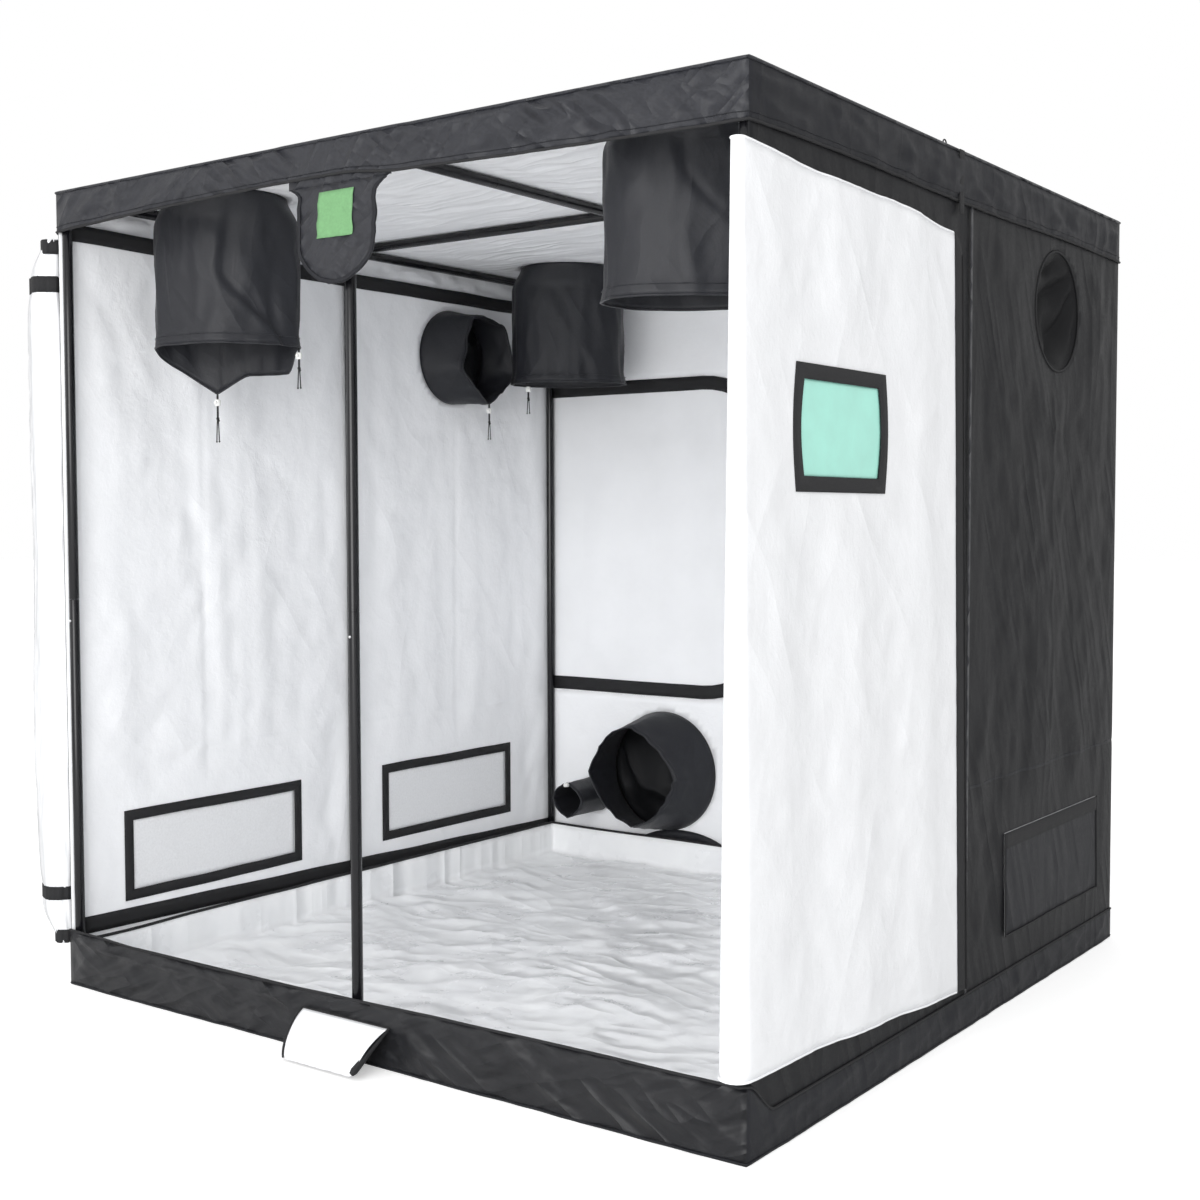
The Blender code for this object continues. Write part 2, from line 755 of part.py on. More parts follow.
def make_rear_wall():
    frame = plane_across_y(HALF_Y - FABRIC / 2)
    edge = INNER_X - GAP
    outline = rectangle(-edge, edge, SIDE_BASE_BAND + GAP, BAND_BOTTOM - GAP)
    holes = [
        circle((INLET_X, INLET_HEIGHT), INLET_RADIUS),
        circle((CABLE_PORT_X, CABLE_PORT_HEIGHT), CABLE_PORT_RADIUS, CABLE_PORT_SIDES),
        door_edge(0),
    ]
    add_panel("rear_wall", outline, holes, frame, FABRIC, "white_liner")


def make_rear_door():
    frame = plane_across_y(HALF_Y - FABRIC / 2)
    hinge = (REAR_DOOR_LEFT, HALF_Y + GAP, REAR_DOOR_BOTTOM)
    add_hinged_panel("rear_door", door_edge(GAP), frame, FABRIC, "white_liner", hinge)


def make_walls():
    make_side_wall("left", -1, LEFT_PORT_Y, LEFT_VENT_YS)
    make_side_wall("right", 1, RIGHT_PORT_Y, (RIGHT_VENT_Y,))
    make_rear_wall()
    make_rear_door()


# The vents
def vent_net_mesh(sign, y):
    """The net and the tape that frames it, on the inner face of the wall."""
    start, end = vent_span(y)
    outer = rectangle(start, end, VENT_BOTTOM, VENT_BOTTOM + VENT_HEIGHT)
    frame = plane_across_x(sign * (INNER_X - GAP - TAPE / 2))
    ring = settle_mesh(add_panel("ring", outer, [vent_hole(y)], frame, TAPE, "black_tape"))
    lap = VENT_TAPE / 2
    sheet = rectangle(start + lap, end - lap, VENT_BOTTOM + lap, VENT_BOTTOM + VENT_HEIGHT - lap)
    net = settle_mesh(add_panel("net", sheet, [], frame, VENT_NET, "vent_net"))
    return unite([ring, net])


def make_vents():
    """Each vent is a net inside the wall and a flap outside it that is sewn along its top edge."""
    names = ("left_front", "left_rear", "right_rear")
    places = [(-1, y) for y in LEFT_VENT_YS] + [(1, RIGHT_VENT_Y)]
    for name, (sign, y) in zip(names, places):
        add_mesh(f"{name}_vent_net", vent_net_mesh(sign, y), "vent_net")
        start, end = vent_span(y)
        top = VENT_BOTTOM + VENT_HEIGHT
        outline = rectangle(start - FLAP_MARGIN, end + FLAP_MARGIN, VENT_BOTTOM - FLAP_MARGIN, top)
        frame = plane_across_x(sign * (HALF_X + GAP + FABRIC / 2))
        hinge = (sign * (HALF_X + GAP + FABRIC), y, top)
        add_hinged_panel(f"{name}_vent_flap", outline, frame, FABRIC, "black_oxford", hinge)


# The socks
def sock_ring(centre, across, up, wide, deep, crease, drop, lobe, sides=PORT_SIDES):
    """One ring of a sock: an oval with a soft crease, whose far side may hang lower."""
    ring = []
    for i in range(sides):
        angle = 2 * math.pi * i / sides
        pinch = 1 - crease * max(0, math.cos(angle - math.pi / 3)) ** 6
        point = centre + across * (wide * pinch * math.cos(angle)) + up * (deep * pinch * math.sin(angle))
        hang = lobe * max(0, math.cos(angle - SOCK_LOBE_TURN)) ** 3
        ring.append(point + drop * hang)
    return ring


def add_sock(name, rings, inward=True):
    return add_sheet(name, rings, True, SOCK_SHEET, inward, "black_sock")


def make_ceiling_sock(name, sx, sy, lobe):
    top = HEIGHT - FABRIC - GAP
    across = Vector((math.cos(SOCK_TURN), math.sin(SOCK_TURN), 0))
    along = Vector((-math.sin(SOCK_TURN), math.cos(SOCK_TURN), 0))
    down = Vector((0, 0, -1))
    rings = []
    for share in (0, 0.15, 0.5, 0.93, 1):
        centre = Vector((sx * CEILING_PORT_X, sy * CEILING_PORT_Y, top - share * SOCK_LENGTH))
        ease = min(1, share * 2)
        wide = PORT_RADIUS * (1 + (SOCK_WIDE_SHARE - 1) * ease)
        deep = PORT_RADIUS * (1 + (SOCK_DEEP_SHARE - 1) * ease)
        crease = SOCK_CREASE_SHARE * share
        rings.append(sock_ring(centre, across, along, wide, deep, crease, down, lobe * share ** 2))
    return add_sock(name, rings)


def make_wall_sock(name, sign, y):
    up = Vector((0, 0, 1))
    across = Vector((0, 1, 0))
    inward = Vector((-sign, 0, 0))
    rings = []
    for share in (0, 0.5, 1):
        reach = GAP + share * WALL_SOCK_REACH
        centre = Vector((sign * INNER_X, y + share * WALL_SOCK_DRIFT, WALL_PORT_HEIGHT)) + inward * reach
        deep = PORT_RADIUS * (1 - (1 - WALL_SOCK_DEEP_SHARE) * share)
        crease = SOCK_CREASE_SHARE * share
        rings.append(sock_ring(centre, across, up, deep, PORT_RADIUS, crease, inward, 0, WALL_PORT_SIDES))
    return add_sock(name, rings, sign < 0)


def make_rear_sock(name, x, height, radius, reach, drift, mouth_share):
    up = Vector((0, 0, 1))
    across = Vector((1, 0, 0))
    rings = []
    for share in (0, 0.5, 1):
        centre = Vector((x - share * drift, INNER_Y - GAP - share * reach, height))
        size = radius * (1 - (1 - mouth_share) * share)
        crease = SOCK_CREASE_SHARE * share
        rings.append(sock_ring(centre, across, up, size, size, crease, up, 0))
    return add_sock(name, rings)


def make_socks():
    make_ceiling_sock("ceiling_sock_front_left", -1, -1, LONG_SOCK_LOBE)
    make_ceiling_sock("ceiling_sock_front_right", 1, -1, 0)
    make_ceiling_sock("ceiling_sock_rear_left", -1, 1, 0)
    make_ceiling_sock("ceiling_sock_rear_right", 1, 1, 0)
    make_wall_sock("left_port_sock", -1, LEFT_PORT_Y)
    make_wall_sock("right_port_sock", 1, RIGHT_PORT_Y)
    make_rear_sock(
        "air_inlet_sock", INLET_X, INLET_HEIGHT, INLET_RADIUS, INLET_REACH, INLET_DRIFT, INLET_MOUTH_SHARE
    )
    make_rear_sock(
        "cable_port_sock", CABLE_PORT_X, CABLE_PORT_HEIGHT, CABLE_PORT_RADIUS, CABLE_SOCK_REACH, 0, 1
    )


# The right half of the front door
def leaf_bottom(share):
    return LEAF_FRONT_BOTTOM + (LEAF_FREE_EDGE_BOTTOM - LEAF_FRONT_BOTTOM) * share


def leaf_top(share, reach):
    """The top edge sags between its ends, and the free corner is rounded off."""
    sag = LEAF_TOP_SAG * math.sin(math.pi * share)
    corner = LEAF_CORNER * max(0, share - (1 - LEAF_CORNER / reach)) ** 2 * (reach / LEAF_CORNER) ** 2
    return LEAF_TOP - sag - corner


def flat_near_window(y, z):
    """Nought over the window and one away from it, so that the folds stop short of the window."""
    away_y = max(0, abs(y - WINDOW_Y) / WINDOW_WIDTH - 0.75)
    away_z = max(0, abs(z - WINDOW_Z) / WINDOW_HEIGHT - 0.85)
    return min(1, 3 * math.hypot(away_y, away_z))


def leaf_fold(y, z):
    """How far the cloth stands in or out of its plane: long soft folds that lean with the height."""
    lean = z / HEIGHT
    folds = math.sin(2 * math.pi * (3.2 * y / DEPTH * 2 + 0.35 * lean)) * 0.7
    folds += math.sin(2 * math.pi * (1.3 * y / DEPTH * 2 - 0.9 * lean)) * 0.3
    return LEAF_FOLD * folds * flat_near_window(y, z)


def leaf_path(height_share):
    """Plan-view points of the door at one height, from its sewn edge, round the corner, to its free edge."""
    loop = LEAF_LOOP_BOTTOM + (LEAF_LOOP_TOP - LEAF_LOOP_BOTTOM) * height_share
    reach = LEAF_FREE_BOTTOM + (LEAF_FREE_TOP - LEAF_FREE_BOTTOM) * height_share
    start = HINGE_OUT - GAP
    reach += ZIP_TAPE
    points = []
    for i in range(LEAF_LOOP_STEPS + 1):
        share = i / LEAF_LOOP_STEPS
        radius = start + (loop - start) * min(1, share * 2)
        angle = math.radians(90 + 270 * share)
        points.append((HALF_X + radius * math.cos(angle), -HALF_Y - HINGE_OUT + radius * math.sin(angle)))
    for i in range(1, LEAF_RUN_STEPS + 1):
        share = i / LEAF_RUN_STEPS
        ease = min(1, share * 4) ** 2 * (3 - 2 * min(1, share * 4))
        stand = loop + (LEAF_STAND - loop) * ease
        points.append((HALF_X + stand, -HALF_Y - HINGE_OUT + share * reach))
    return points, reach


def leaf_rows():
    """Rows of points up the door, each from the sewn edge to the free edge."""
    rows = []
    for row in range(LEAF_ROWS + 1):
        height_share = row / LEAF_ROWS
        path, reach = leaf_path(height_share)
        points = []
        for i, (x, y) in enumerate(path):
            run = max(0, (y + HALF_Y + HINGE_OUT) / reach) if i > LEAF_LOOP_STEPS else 0
            low = leaf_bottom(run)
            z = low + (leaf_top(run, reach) - low) * height_share
            fold = leaf_fold(y, z) * min(1, run * 5, (1 - run) * 5)
            points.append(Vector((x + fold, y, z)))
        rows.append(points)
    return rows


def window_outline(margin):
    """The window: level at its top and bottom, with upright sides that bow outward."""
    half = WINDOW_WIDTH / 2 + margin
    bottom = WINDOW_Z - WINDOW_HEIGHT / 2 - margin
    rise = WINDOW_HEIGHT + 2 * margin
    bows = [(WINDOW_BOW * math.sin(math.pi * share), bottom + rise * share) for share in (0, 0.25, 0.5, 0.75, 1)]
    right = [(WINDOW_Y + half + bow, z) for bow, z in bows]
    left = [(WINDOW_Y - half - bow, z) for bow, z in reversed(bows)]
    return right + left


def make_right_door():
    leaf = add_sheet("right_door", leaf_rows(), False, LEAF, True, "white_liner")
    middle = HALF_X + LEAF_STAND - LEAF / 2
    hole = add_panel("hole", window_outline(GAP), [], plane_across_x(middle), 2 * OVERRUN, "white_liner")
    cutter = add_object("window_cutter", settle_mesh(hole), "white_liner", CUTTERS)
    cutter.hide_render = True
    cutter.display_type = "WIRE"
    cut = leaf.modifiers.new("window", "BOOLEAN")
    cut.operation = "DIFFERENCE"
    cut.object = cutter
    cut.solver = "EXACT"
    hinge_at(leaf, (HALF_X, -HALF_Y - HINGE_OUT, 0))
    hinge = (HALF_X, -HALF_Y - HINGE_OUT, WINDOW_Z)
    add_hinged_panel("window_pane", window_outline(0), plane_across_x(middle), PANE, "green_pane", hinge)


def leaf_edge_at(z):
    """The place on the door's free edge at a height."""
    edge = [row[-1] for row in leaf_rows()]
    for low, high in zip(edge, edge[1:]):
        if low.z <= z <= high.z:
            return low.lerp(high, (z - low.z) / (high.z - low.z))
    return edge[0]


def make_zip_slider():
    """A slider body with a slot that grips the zip's edge, and a pull tab that hangs outside."""
    edge = leaf_edge_at(SLIDER_HEIGHT) + Vector((-LEAF / 2, 0, 0))
    half = SLIDER_THICKNESS / 2
    grip = SLIDER_BODY * SLIDER_GRIP_SHARE
    body_low = (-half, -grip, -SLIDER_LENGTH / 2)
    body_high = (half, SLIDER_BODY - grip, SLIDER_LENGTH / 2)
    slot = LEAF / 2 + SLIDER_CLEARANCE
    slot_low = (-slot, -grip - OVERRUN, -SLIDER_LENGTH)
    slot_high = (slot, SLIDER_CLEARANCE, SLIDER_LENGTH)
    body = combine(box_mesh(body_low, body_high), box_mesh(slot_low, slot_high), "DIFFERENCE")
    middle = SLIDER_BODY - grip - SLIDER_PULL_WIDTH / 2
    pull_low = (half - TAPE / 2, middle - SLIDER_PULL_WIDTH / 2, -SLIDER_PULL)
    pull_high = (half + TAPE / 2, middle + SLIDER_PULL_WIDTH / 2, 0)
    body = combine(body, box_mesh(pull_low, pull_high), "UNION")
    add_mesh("door_zip_slider", body, "black_tape", edge)


# The left half of the front door, gathered and tied
def roll_ring(z):
    """One level of the bundle: a folded oval that narrows towards both ends."""
    share = (z - ROLL_BOTTOM) / (ROLL_TOP - ROLL_BOTTOM)
    end = min(1, min(share, 1 - share) / ROLL_END_RUN_SHARE)
    size = ROLL_END_SHARE + (1 - ROLL_END_SHARE) * math.sin(end * math.pi / 2)
    wide = ROLL_WIDE * size
    deep = ROLL_DEEP * (size + 1) / 2
    centre_x = -HALF_X - GAP - wide
    centre_y = -HALF_Y + ROLL_CENTRE_IN
    ring = []
    for i in range(ROLL_SIDES):
        angle = 2 * math.pi * i / ROLL_SIDES
        fold = 1 - ROLL_FOLD_SHARE * (0.5 - 0.5 * math.cos(ROLL_FOLD_COUNT * angle + 2 * share - 1))
        x = centre_x + wide * fold * math.cos(angle)
        y = centre_y + deep * fold * math.sin(angle)
        ring.append(Vector((x, y, z)))
    return ring


def make_left_door_roll():
    rings = []
    for row in range(ROLL_ROWS + 1):
        share = row / ROLL_ROWS
        eased = share - ROLL_END_RUN_SHARE * math.sin(2 * math.pi * share)
        rings.append(roll_ring(ROLL_BOTTOM + (ROLL_TOP - ROLL_BOTTOM) * eased))
    roll = add_mesh("left_door_roll", cap_ends(loft_mesh(rings, True)), "white_liner")
    hinge_at(roll, (-HALF_X, -HALF_Y, 0))


# The tab over the centre post and the flap over the base
def make_front_tab():
    shoulder = TAB_TOP - TAB_SHOULDER
    bottom = arc((TAB_X, shoulder), (TAB_HALF, TAB_DROP - TAB_SHOULDER), 180, 360, 10)
    neck = TAB_TOP - TAB_FLARE_DROP
    flared = TAB_HALF + TAB_FLARE
    right = [(TAB_X + TAB_HALF, neck), (TAB_X + flared, TAB_TOP)]
    left = [(TAB_X - flared, TAB_TOP), (TAB_X - TAB_HALF, neck)]
    outline = bottom + right + left
    frame = plane_across_y(-HALF_Y - GAP - FABRIC / 2)
    add_hinged_panel("front_tab", outline, frame, FABRIC, "black_oxford", (TAB_X, -HALF_Y - GAP - FABRIC, TAB_TOP))


def make_sill_flap():
    """A flap sewn to the top of the front base band, folded out so that its free edge lies on the floor."""
    rows = []
    top_y = -HALF_Y - GAP
    foot = FABRIC + GAP
    for i in range(SILL_FLAP_STEPS + 1):
        share = i / SILL_FLAP_STEPS
        y = top_y - SILL_FLAP_REACH * share
        z = SILL_FLAP_TOP + (foot - SILL_FLAP_TOP) * share
        row = []
        for across in (-1, -0.85, 0, 0.85, 1):
            curl = SILL_FLAP_CURL * share * (1 if abs(across) == 1 else 0)
            row.append(Vector((SILL_FLAP_X + across * SILL_FLAP_HALF, y, z + curl)))
        rows.append(row)
    flap = add_sheet("sill_flap", rows, False, FABRIC, True, "white_liner")
    hinge_at(flap, (SILL_FLAP_X, top_y, SILL_FLAP_TOP))


# The spill tray
def make_tray():
    half_x = POLE_X - POLE_RADIUS - TRAY_CLEARANCE
    half_y = POLE_Y - POLE_RADIUS - TRAY_CLEARANCE
    bottom = FABRIC + GAP
    shell = box_mesh((-half_x, -half_y, bottom), (half_x, half_y, TRAY_HEIGHT))
    hollow_low = (-half_x + TRAY_SHEET, -half_y + TRAY_SHEET, bottom + TRAY_SHEET)
    hollow_high = (half_x - TRAY_SHEET, half_y - TRAY_SHEET, TRAY_HEIGHT + OVERRUN)
    tray = combine(shell, box_mesh(hollow_low, hollow_high), "DIFFERENCE")
    add_mesh("spill_tray", tray, "tray_liner")


# The drawcords and their locks
# Each place is where a sock's hem lets its drawcord out; the tail is how far the cord then hangs.
def drawcord_places():
    hem = HEIGHT - FABRIC - GAP - SOCK_LENGTH - GAP
    wide = PORT_RADIUS * SOCK_WIDE_SHARE
    deep = PORT_RADIUS * SOCK_DEEP_SHARE
    across = Vector((math.cos(SOCK_TURN), math.sin(SOCK_TURN), 0))
    along = Vector((-math.sin(SOCK_TURN), math.cos(SOCK_TURN), 0))
    front_left = Vector((-CEILING_PORT_X, -CEILING_PORT_Y, hem))
    front_right = Vector((CEILING_PORT_X, -CEILING_PORT_Y, hem))
    rear_left = Vector((-CEILING_PORT_X, CEILING_PORT_Y, hem))
    left_mouth = Vector((-INNER_X + GAP + WALL_SOCK_REACH, LEFT_PORT_Y + WALL_SOCK_DRIFT, WALL_PORT_HEIGHT))
    inset = SOCK_SHEET / 2
    lobe_across = (wide - inset) * math.cos(SOCK_LOBE_TURN)
    lobe_along = (deep - inset) * math.sin(SOCK_LOBE_TURN)
    lobe_tip = front_left + across * lobe_across + along * lobe_along - Vector((0, 0, LONG_SOCK_LOBE))
    return {
        "front_left_outer": (front_left + across * (wide - inset), 0.1),
        "front_left_inner": (lobe_tip, 0.12),
        "front_right": (front_right + across * (wide * 0.5) - along * (deep * 0.86 - inset), 0.12),
        "rear_left": (rear_left - across * (wide * 0.7) - along * (deep * 0.71 - inset), 0.095),
        "left_port": (left_mouth + Vector((-inset, 0, -PORT_RADIUS - GAP)), 0.11),
    }


def cord_route(place, tail):
    """A drawcord: up one tail by its hand-picked bends, over inside the hem, and down the other."""
    bend_shares = ((1, 2.6), (0.82, 2.1), (0.66, 1.6), (0.52, 0.9), (0.42, 1), (0.2, 1), (0, 1))
    top = place - Vector((0, 0, GAP + CORD_RADIUS + CORD_SPREAD))
    bends = [Vector((CORD_SPREAD * aside, 0, -tail * down)) for down, aside in bend_shares]
    tail_route = smooth_route(bends, CORD_STEP)
    over = [Vector((x, 0, z)) for x, z in arc((0, 0), (CORD_SPREAD, CORD_SPREAD), 0, 180, 4)[1:-1]]
    other = [Vector((-point.x, point.y, point.z)) for point in reversed(tail_route)]
    return [top + point for point in tail_route + over + other]


def smooth_route(points, spacing):
    """Points at even steps along a smooth curve through the chosen ones."""
    dense = []
    count = len(points)
    for i in range(count - 1):
        before = points[max(0, i - 1)]
        start, end = points[i], points[i + 1]
        after = points[min(count - 1, i + 2)]
        for step in range(8):
            t = step / 8
            a = (end - before) * 0.5
            b = (after - start) * 0.5
            hermite = (2 * t ** 3 - 3 * t ** 2 + 1) * start + (t ** 3 - 2 * t ** 2 + t) * a
            hermite += (-2 * t ** 3 + 3 * t ** 2) * end + (t ** 3 - t ** 2) * b
            dense.append(hermite)
    dense.append(points[-1])
    length = sum((b - a).length for a, b in zip(dense, dense[1:]))
    steps = max(2, round(length / spacing))
    route = [dense[0]]
    travelled = 0
    for a, b in zip(dense, dense[1:]):
        travelled += (b - a).length
        if travelled >= len(route) * length / steps and len(route) < steps:
            route.append(b)
    route.append(dense[-1])
    return route


def wire_mesh(route, radius, slot):
    """A round wire along a route, with its ends closed."""
    curve = bpy.data.curves.new("wire", "CURVE")
    curve.dimensions = "3D"
    curve.bevel_depth = radius
    curve.bevel_resolution = 2
    curve.use_fill_caps = True
    spline = curve.splines.new("POLY")
    spline.points.add(len(route) - 1)
    for point, place in zip(spline.points, route):
        point.co = (*place, 1)
    return settle_mesh(add_object("wire", curve, slot))


def lock_mesh():
    """A ball lock: a rounded barrel with one bore for both strands."""
    bore = CORD_SPREAD + CORD_RADIUS + LOCK_BORE_CLEARANCE
    half = LOCK_LENGTH / 2
    waist = (LOCK_RADIUS + bore) / 2
    profile = [
        (waist, half),
        (LOCK_RADIUS, half / 2),
        (LOCK_RADIUS, -half / 2),
        (waist, -half),
        (bore, -half),
        (bore, half),
    ]
    return turned_mesh(profile, closed=True, sides=LOCK_SIDES)


def make_drawcords():
    lock = lock_mesh()
    for name, (place, tail) in drawcord_places().items():
        route = cord_route(place, tail)
        add_mesh(f"drawcord_{name}", wire_mesh(route, CORD_RADIUS, "black_cord"), "black_cord")
        centre = place + Vector((0, 0, -LOCK_DROP - LOCK_LENGTH / 2))
        add_mesh(f"cord_lock_{name}", lock.copy(), "white_plastic", centre)


def main():
    make_frame()
    make_roof()
    make_roof_band()
    make_floor_pan()
    make_walls()
    make_vents()
    make_socks()
    make_right_door()
    make_zip_slider()
    make_left_door_roll()
    make_front_tab()
    make_sill_flap()
    make_tray()
    make_drawcords()


main()
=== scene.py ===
"""Indoor grow tent: the cloth, poles, ports, doors and tray as they look, on the frame's bodies.

Metres, +Z up, with the front at -Y. The sizes follow the solid model, which the frame brings in.
"""

from math import copysign, cos, exp, hypot, pi, radians, sin, tanh, tau

import bmesh
import bpy
from mathutils import Matrix, Vector, noise


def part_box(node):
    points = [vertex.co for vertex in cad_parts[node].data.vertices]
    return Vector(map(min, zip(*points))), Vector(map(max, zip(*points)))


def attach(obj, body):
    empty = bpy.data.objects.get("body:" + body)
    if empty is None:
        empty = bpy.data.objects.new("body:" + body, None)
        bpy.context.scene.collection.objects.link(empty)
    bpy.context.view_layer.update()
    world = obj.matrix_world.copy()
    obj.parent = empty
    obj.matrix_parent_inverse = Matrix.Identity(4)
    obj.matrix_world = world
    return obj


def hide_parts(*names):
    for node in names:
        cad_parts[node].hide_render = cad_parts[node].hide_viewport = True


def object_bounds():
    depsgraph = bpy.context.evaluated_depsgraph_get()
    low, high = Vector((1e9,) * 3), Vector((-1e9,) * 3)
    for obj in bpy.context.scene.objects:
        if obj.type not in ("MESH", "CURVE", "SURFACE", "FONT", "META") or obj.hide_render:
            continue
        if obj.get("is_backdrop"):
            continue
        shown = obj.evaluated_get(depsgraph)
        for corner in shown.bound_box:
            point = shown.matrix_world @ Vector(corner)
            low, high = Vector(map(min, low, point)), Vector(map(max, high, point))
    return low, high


bl_info = {
    "name": "Indoor grow tent",
    "version": (1, 0, 0),
    "blender": (4, 5, 0),
    "location": "View3D > Sidebar > Grow Tent",
    "description": "Builds the visible pieces of an indoor grow tent on its frame",
    "category": "Object",
}

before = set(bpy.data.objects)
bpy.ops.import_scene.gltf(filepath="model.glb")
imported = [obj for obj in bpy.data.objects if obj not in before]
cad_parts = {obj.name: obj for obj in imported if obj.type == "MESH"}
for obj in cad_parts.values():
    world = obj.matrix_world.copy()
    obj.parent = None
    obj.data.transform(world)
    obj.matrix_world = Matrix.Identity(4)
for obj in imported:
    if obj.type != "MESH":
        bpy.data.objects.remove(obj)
CAD_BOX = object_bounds()

# Sizes shared with the solid model
HALF = 1.0
CLOTH = 0.002
THIN_CLOTH = 0.0008
TAPE_SHEET = 0.0012
GRID = 0.018
WALL_GRID = 0.0165
INNER = HALF - CLOTH
GAP = 0.0003
POLE_RADIUS = 0.0125
FITTING_RADIUS = 0.0133
BUTTON_HEIGHT = 0.93
COLLAR = 0.03
POST_JOINT = 0.985
ROOF_JOINT = 0.5
BAND_BOTTOM = 1.89
SIDE_BASE = 0.08
FRONT_BASE = 0.14
BASE_EDGE_SHARES = ((-1, 1.0), (-0.66, 0.86), (-0.33, 0.8), (0, 0.94), (0.5, 1.04), (1, 1.08))
SEAM = 0.56
SEAM_HALF = 0.006
DOOR_ROOM = 0.0085
PORT_RADIUS = 0.15
PORT_X = 0.7
PORT_Y = 0.715
LOBE_TURN = radians(108)
LOBE_DROP = 0.11
SOCK_LENGTH = 0.375
SOCK_TURN = radians(36)
SOCK_ACROSS = Vector((cos(SOCK_TURN), sin(SOCK_TURN), 0))
SOCK_ALONG = Vector((-sin(SOCK_TURN), cos(SOCK_TURN), 0))
SOCK_WIDENS = 0.2
SOCK_NARROWS = 0.22
SOCK_SHEET = 0.0016
WALL_SOCK_REACH = 0.11
WALL_SOCK_DRIFT = 0.06
LEFT_PORT_Y = 0.48
RIGHT_PORT_Y = 0.535
WALL_PORT_Z = 1.708
INLET = (-0.51, 0.335, 0.2)
CABLE_PORT = (-0.795, 0.232, 0.06)
LEFT_VENTS = (-0.5175, 0.455)
RIGHT_VENTS = (0.54,)
VENT_WIDTH = 0.63
VENT_HEIGHT = 0.24
VENT_BOTTOM = 0.18
VENT_TAPE = 0.028
REAR_DOOR = (-0.985, -0.03, 0.585, 1.655, 0.33)
HINGE_OUT = 0.034
LEAF_LOOP = (0.0325, 0.014)
LEAF_REACH = (0.955, 0.9)
LEAF_STAND = 0.012
WINDOW = (-0.662, 1.355, 0.32, 0.19)
WINDOW_BOW = 0.012
ZIP_TAPE = 0.045
TAB_TOP = 1.904
TAB_DROP = 0.215
TAB_MIDDLE = -0.013
ROLL_LOW = 0.105
ROLL_HIGH = 1.888
ROLL_SIDES = 72
FRONT = (0, -1, 0)
UP = Vector((0, 0, 1))
CORNERS = {"front_left": (-1, -1), "front_right": (1, -1), "rear_left": (-1, 1),
           "rear_right": (1, 1)}


def look():
    return bpy.context.scene.grow_tent_look


# Numbers and folds
def clamp(value, low=0.0, high=1.0):
    return max(low, min(high, value))


def ease(value):
    value = clamp(value)
    return value * value * (3 - 2 * value)


def soft_noise(x, y, z):
    """A height that wanders softly between -1 and 1."""
    return noise.noise(Vector((x, y, z)))


def ridge(point):
    """A height that comes to sharp crests, as creased cloth does, from -1 to 1."""
    return 1 - 4 * abs(noise.noise(point))


def crumple(u, v, seed, size):
    """Slack cloth: a soft swell, with sharper creases across it."""
    place = Vector((u / size, v / size, seed * 5.7))
    swell = noise.noise(place)
    crease = ridge(place * 2.1 + Vector((3.1, 1.7, 0)))
    fine = ridge(place * 4.7 + Vector((1.3, 6.1, 2.2)))
    return 0.62 * swell + 0.24 * crease + 0.14 * fine


def pulls(u, v, places):
    """Tension folds that run from a held place: each is (u, v, direction, reach, width, height)."""
    total = 0.0
    for pu, pv, angle, reach, width, height in places:
        du = u - pu
        dv = v - pv
        along = du * cos(angle) + dv * sin(angle)
        across = -du * sin(angle) + dv * cos(angle)
        if 0 < along < reach:
            fade = ease(along / (reach * 0.15)) * (1 - along / reach)
            total += height * fade * exp(-((across / width) ** 2))
    return total


# Meshes and objects
def new_object(name, mesh, materials):
    obj = bpy.data.objects.new(name, mesh)
    bpy.context.scene.collection.objects.link(obj)
    for material in materials:
        obj.data.materials.append(bpy.data.materials[material])
    return obj


def finish_piece(obj, body, nodes=()):
    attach(obj, body)
    if nodes:
        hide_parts(*nodes)
    return obj


def mesh_from(name, points, faces):
    mesh = bpy.data.meshes.new(name)
    mesh.from_pydata([tuple(point) for point in points], [], faces)
    mesh.validate()
    mesh.shade_smooth()
    return mesh


def smooth_mesh(name, shape):
    """Turns a bmesh into a smooth mesh, and frees it."""
    mesh = bpy.data.meshes.new(name)
    shape.to_mesh(mesh)
    shape.free()
    mesh.shade_smooth()
    return mesh


def turns(count):
    """Angles at even steps round a circle."""
    return [tau * i / count for i in range(count)]


def sheet_faces(rows, wide):
    """The faces between rows of points, each with this many points."""
    return [(row * wide + i, row * wide + i + 1, (row + 1) * wide + i + 1, (row + 1) * wide + i)
            for row in range(rows) for i in range(wide - 1)]


def ring_faces(rows, count):
    """The faces between rows of points that close on themselves."""
    return [(row * count + i, row * count + (i + 1) % count,
             (row + 1) * count + (i + 1) % count, (row + 1) * count + i)
            for row in range(rows) for i in range(count)]


def steps(low, high, size, breaks=()):
    """Even steps from low to high that also stop at each break."""
    marks = sorted({low, high, *[b for b in breaks if low < b < high]})
    values = [low]
    for start, end in zip(marks, marks[1:]):
        count = max(1, round((end - start) / size))
        values += [start + (end - start) * i / count for i in range(1, count + 1)]
    return values


def circle_hole(cu, cv, radius):
    return ("circle", cu, cv, radius)


def box_hole(u0, u1, v0, v1):
    return ("box", u0, u1, v0, v1)


def outline_hole(points):
    return ("outline", points)


def inside_outline(u, v, points):
    inside = False
    for (u0, v0), (u1, v1) in zip(points, points[1:] + points[:1]):
        if (v0 > v) != (v1 > v) and u < (u1 - u0) * (v - v0) / (v1 - v0) + u0:
            inside = not inside
    return inside


def in_hole(u, v, hole):
    if hole[0] == "circle":
        return hypot(u - hole[1], v - hole[2]) < hole[3]
    if hole[0] == "box":
        return hole[1] < u < hole[2] and hole[3] < v < hole[4]
    return inside_outline(u, v, hole[1])


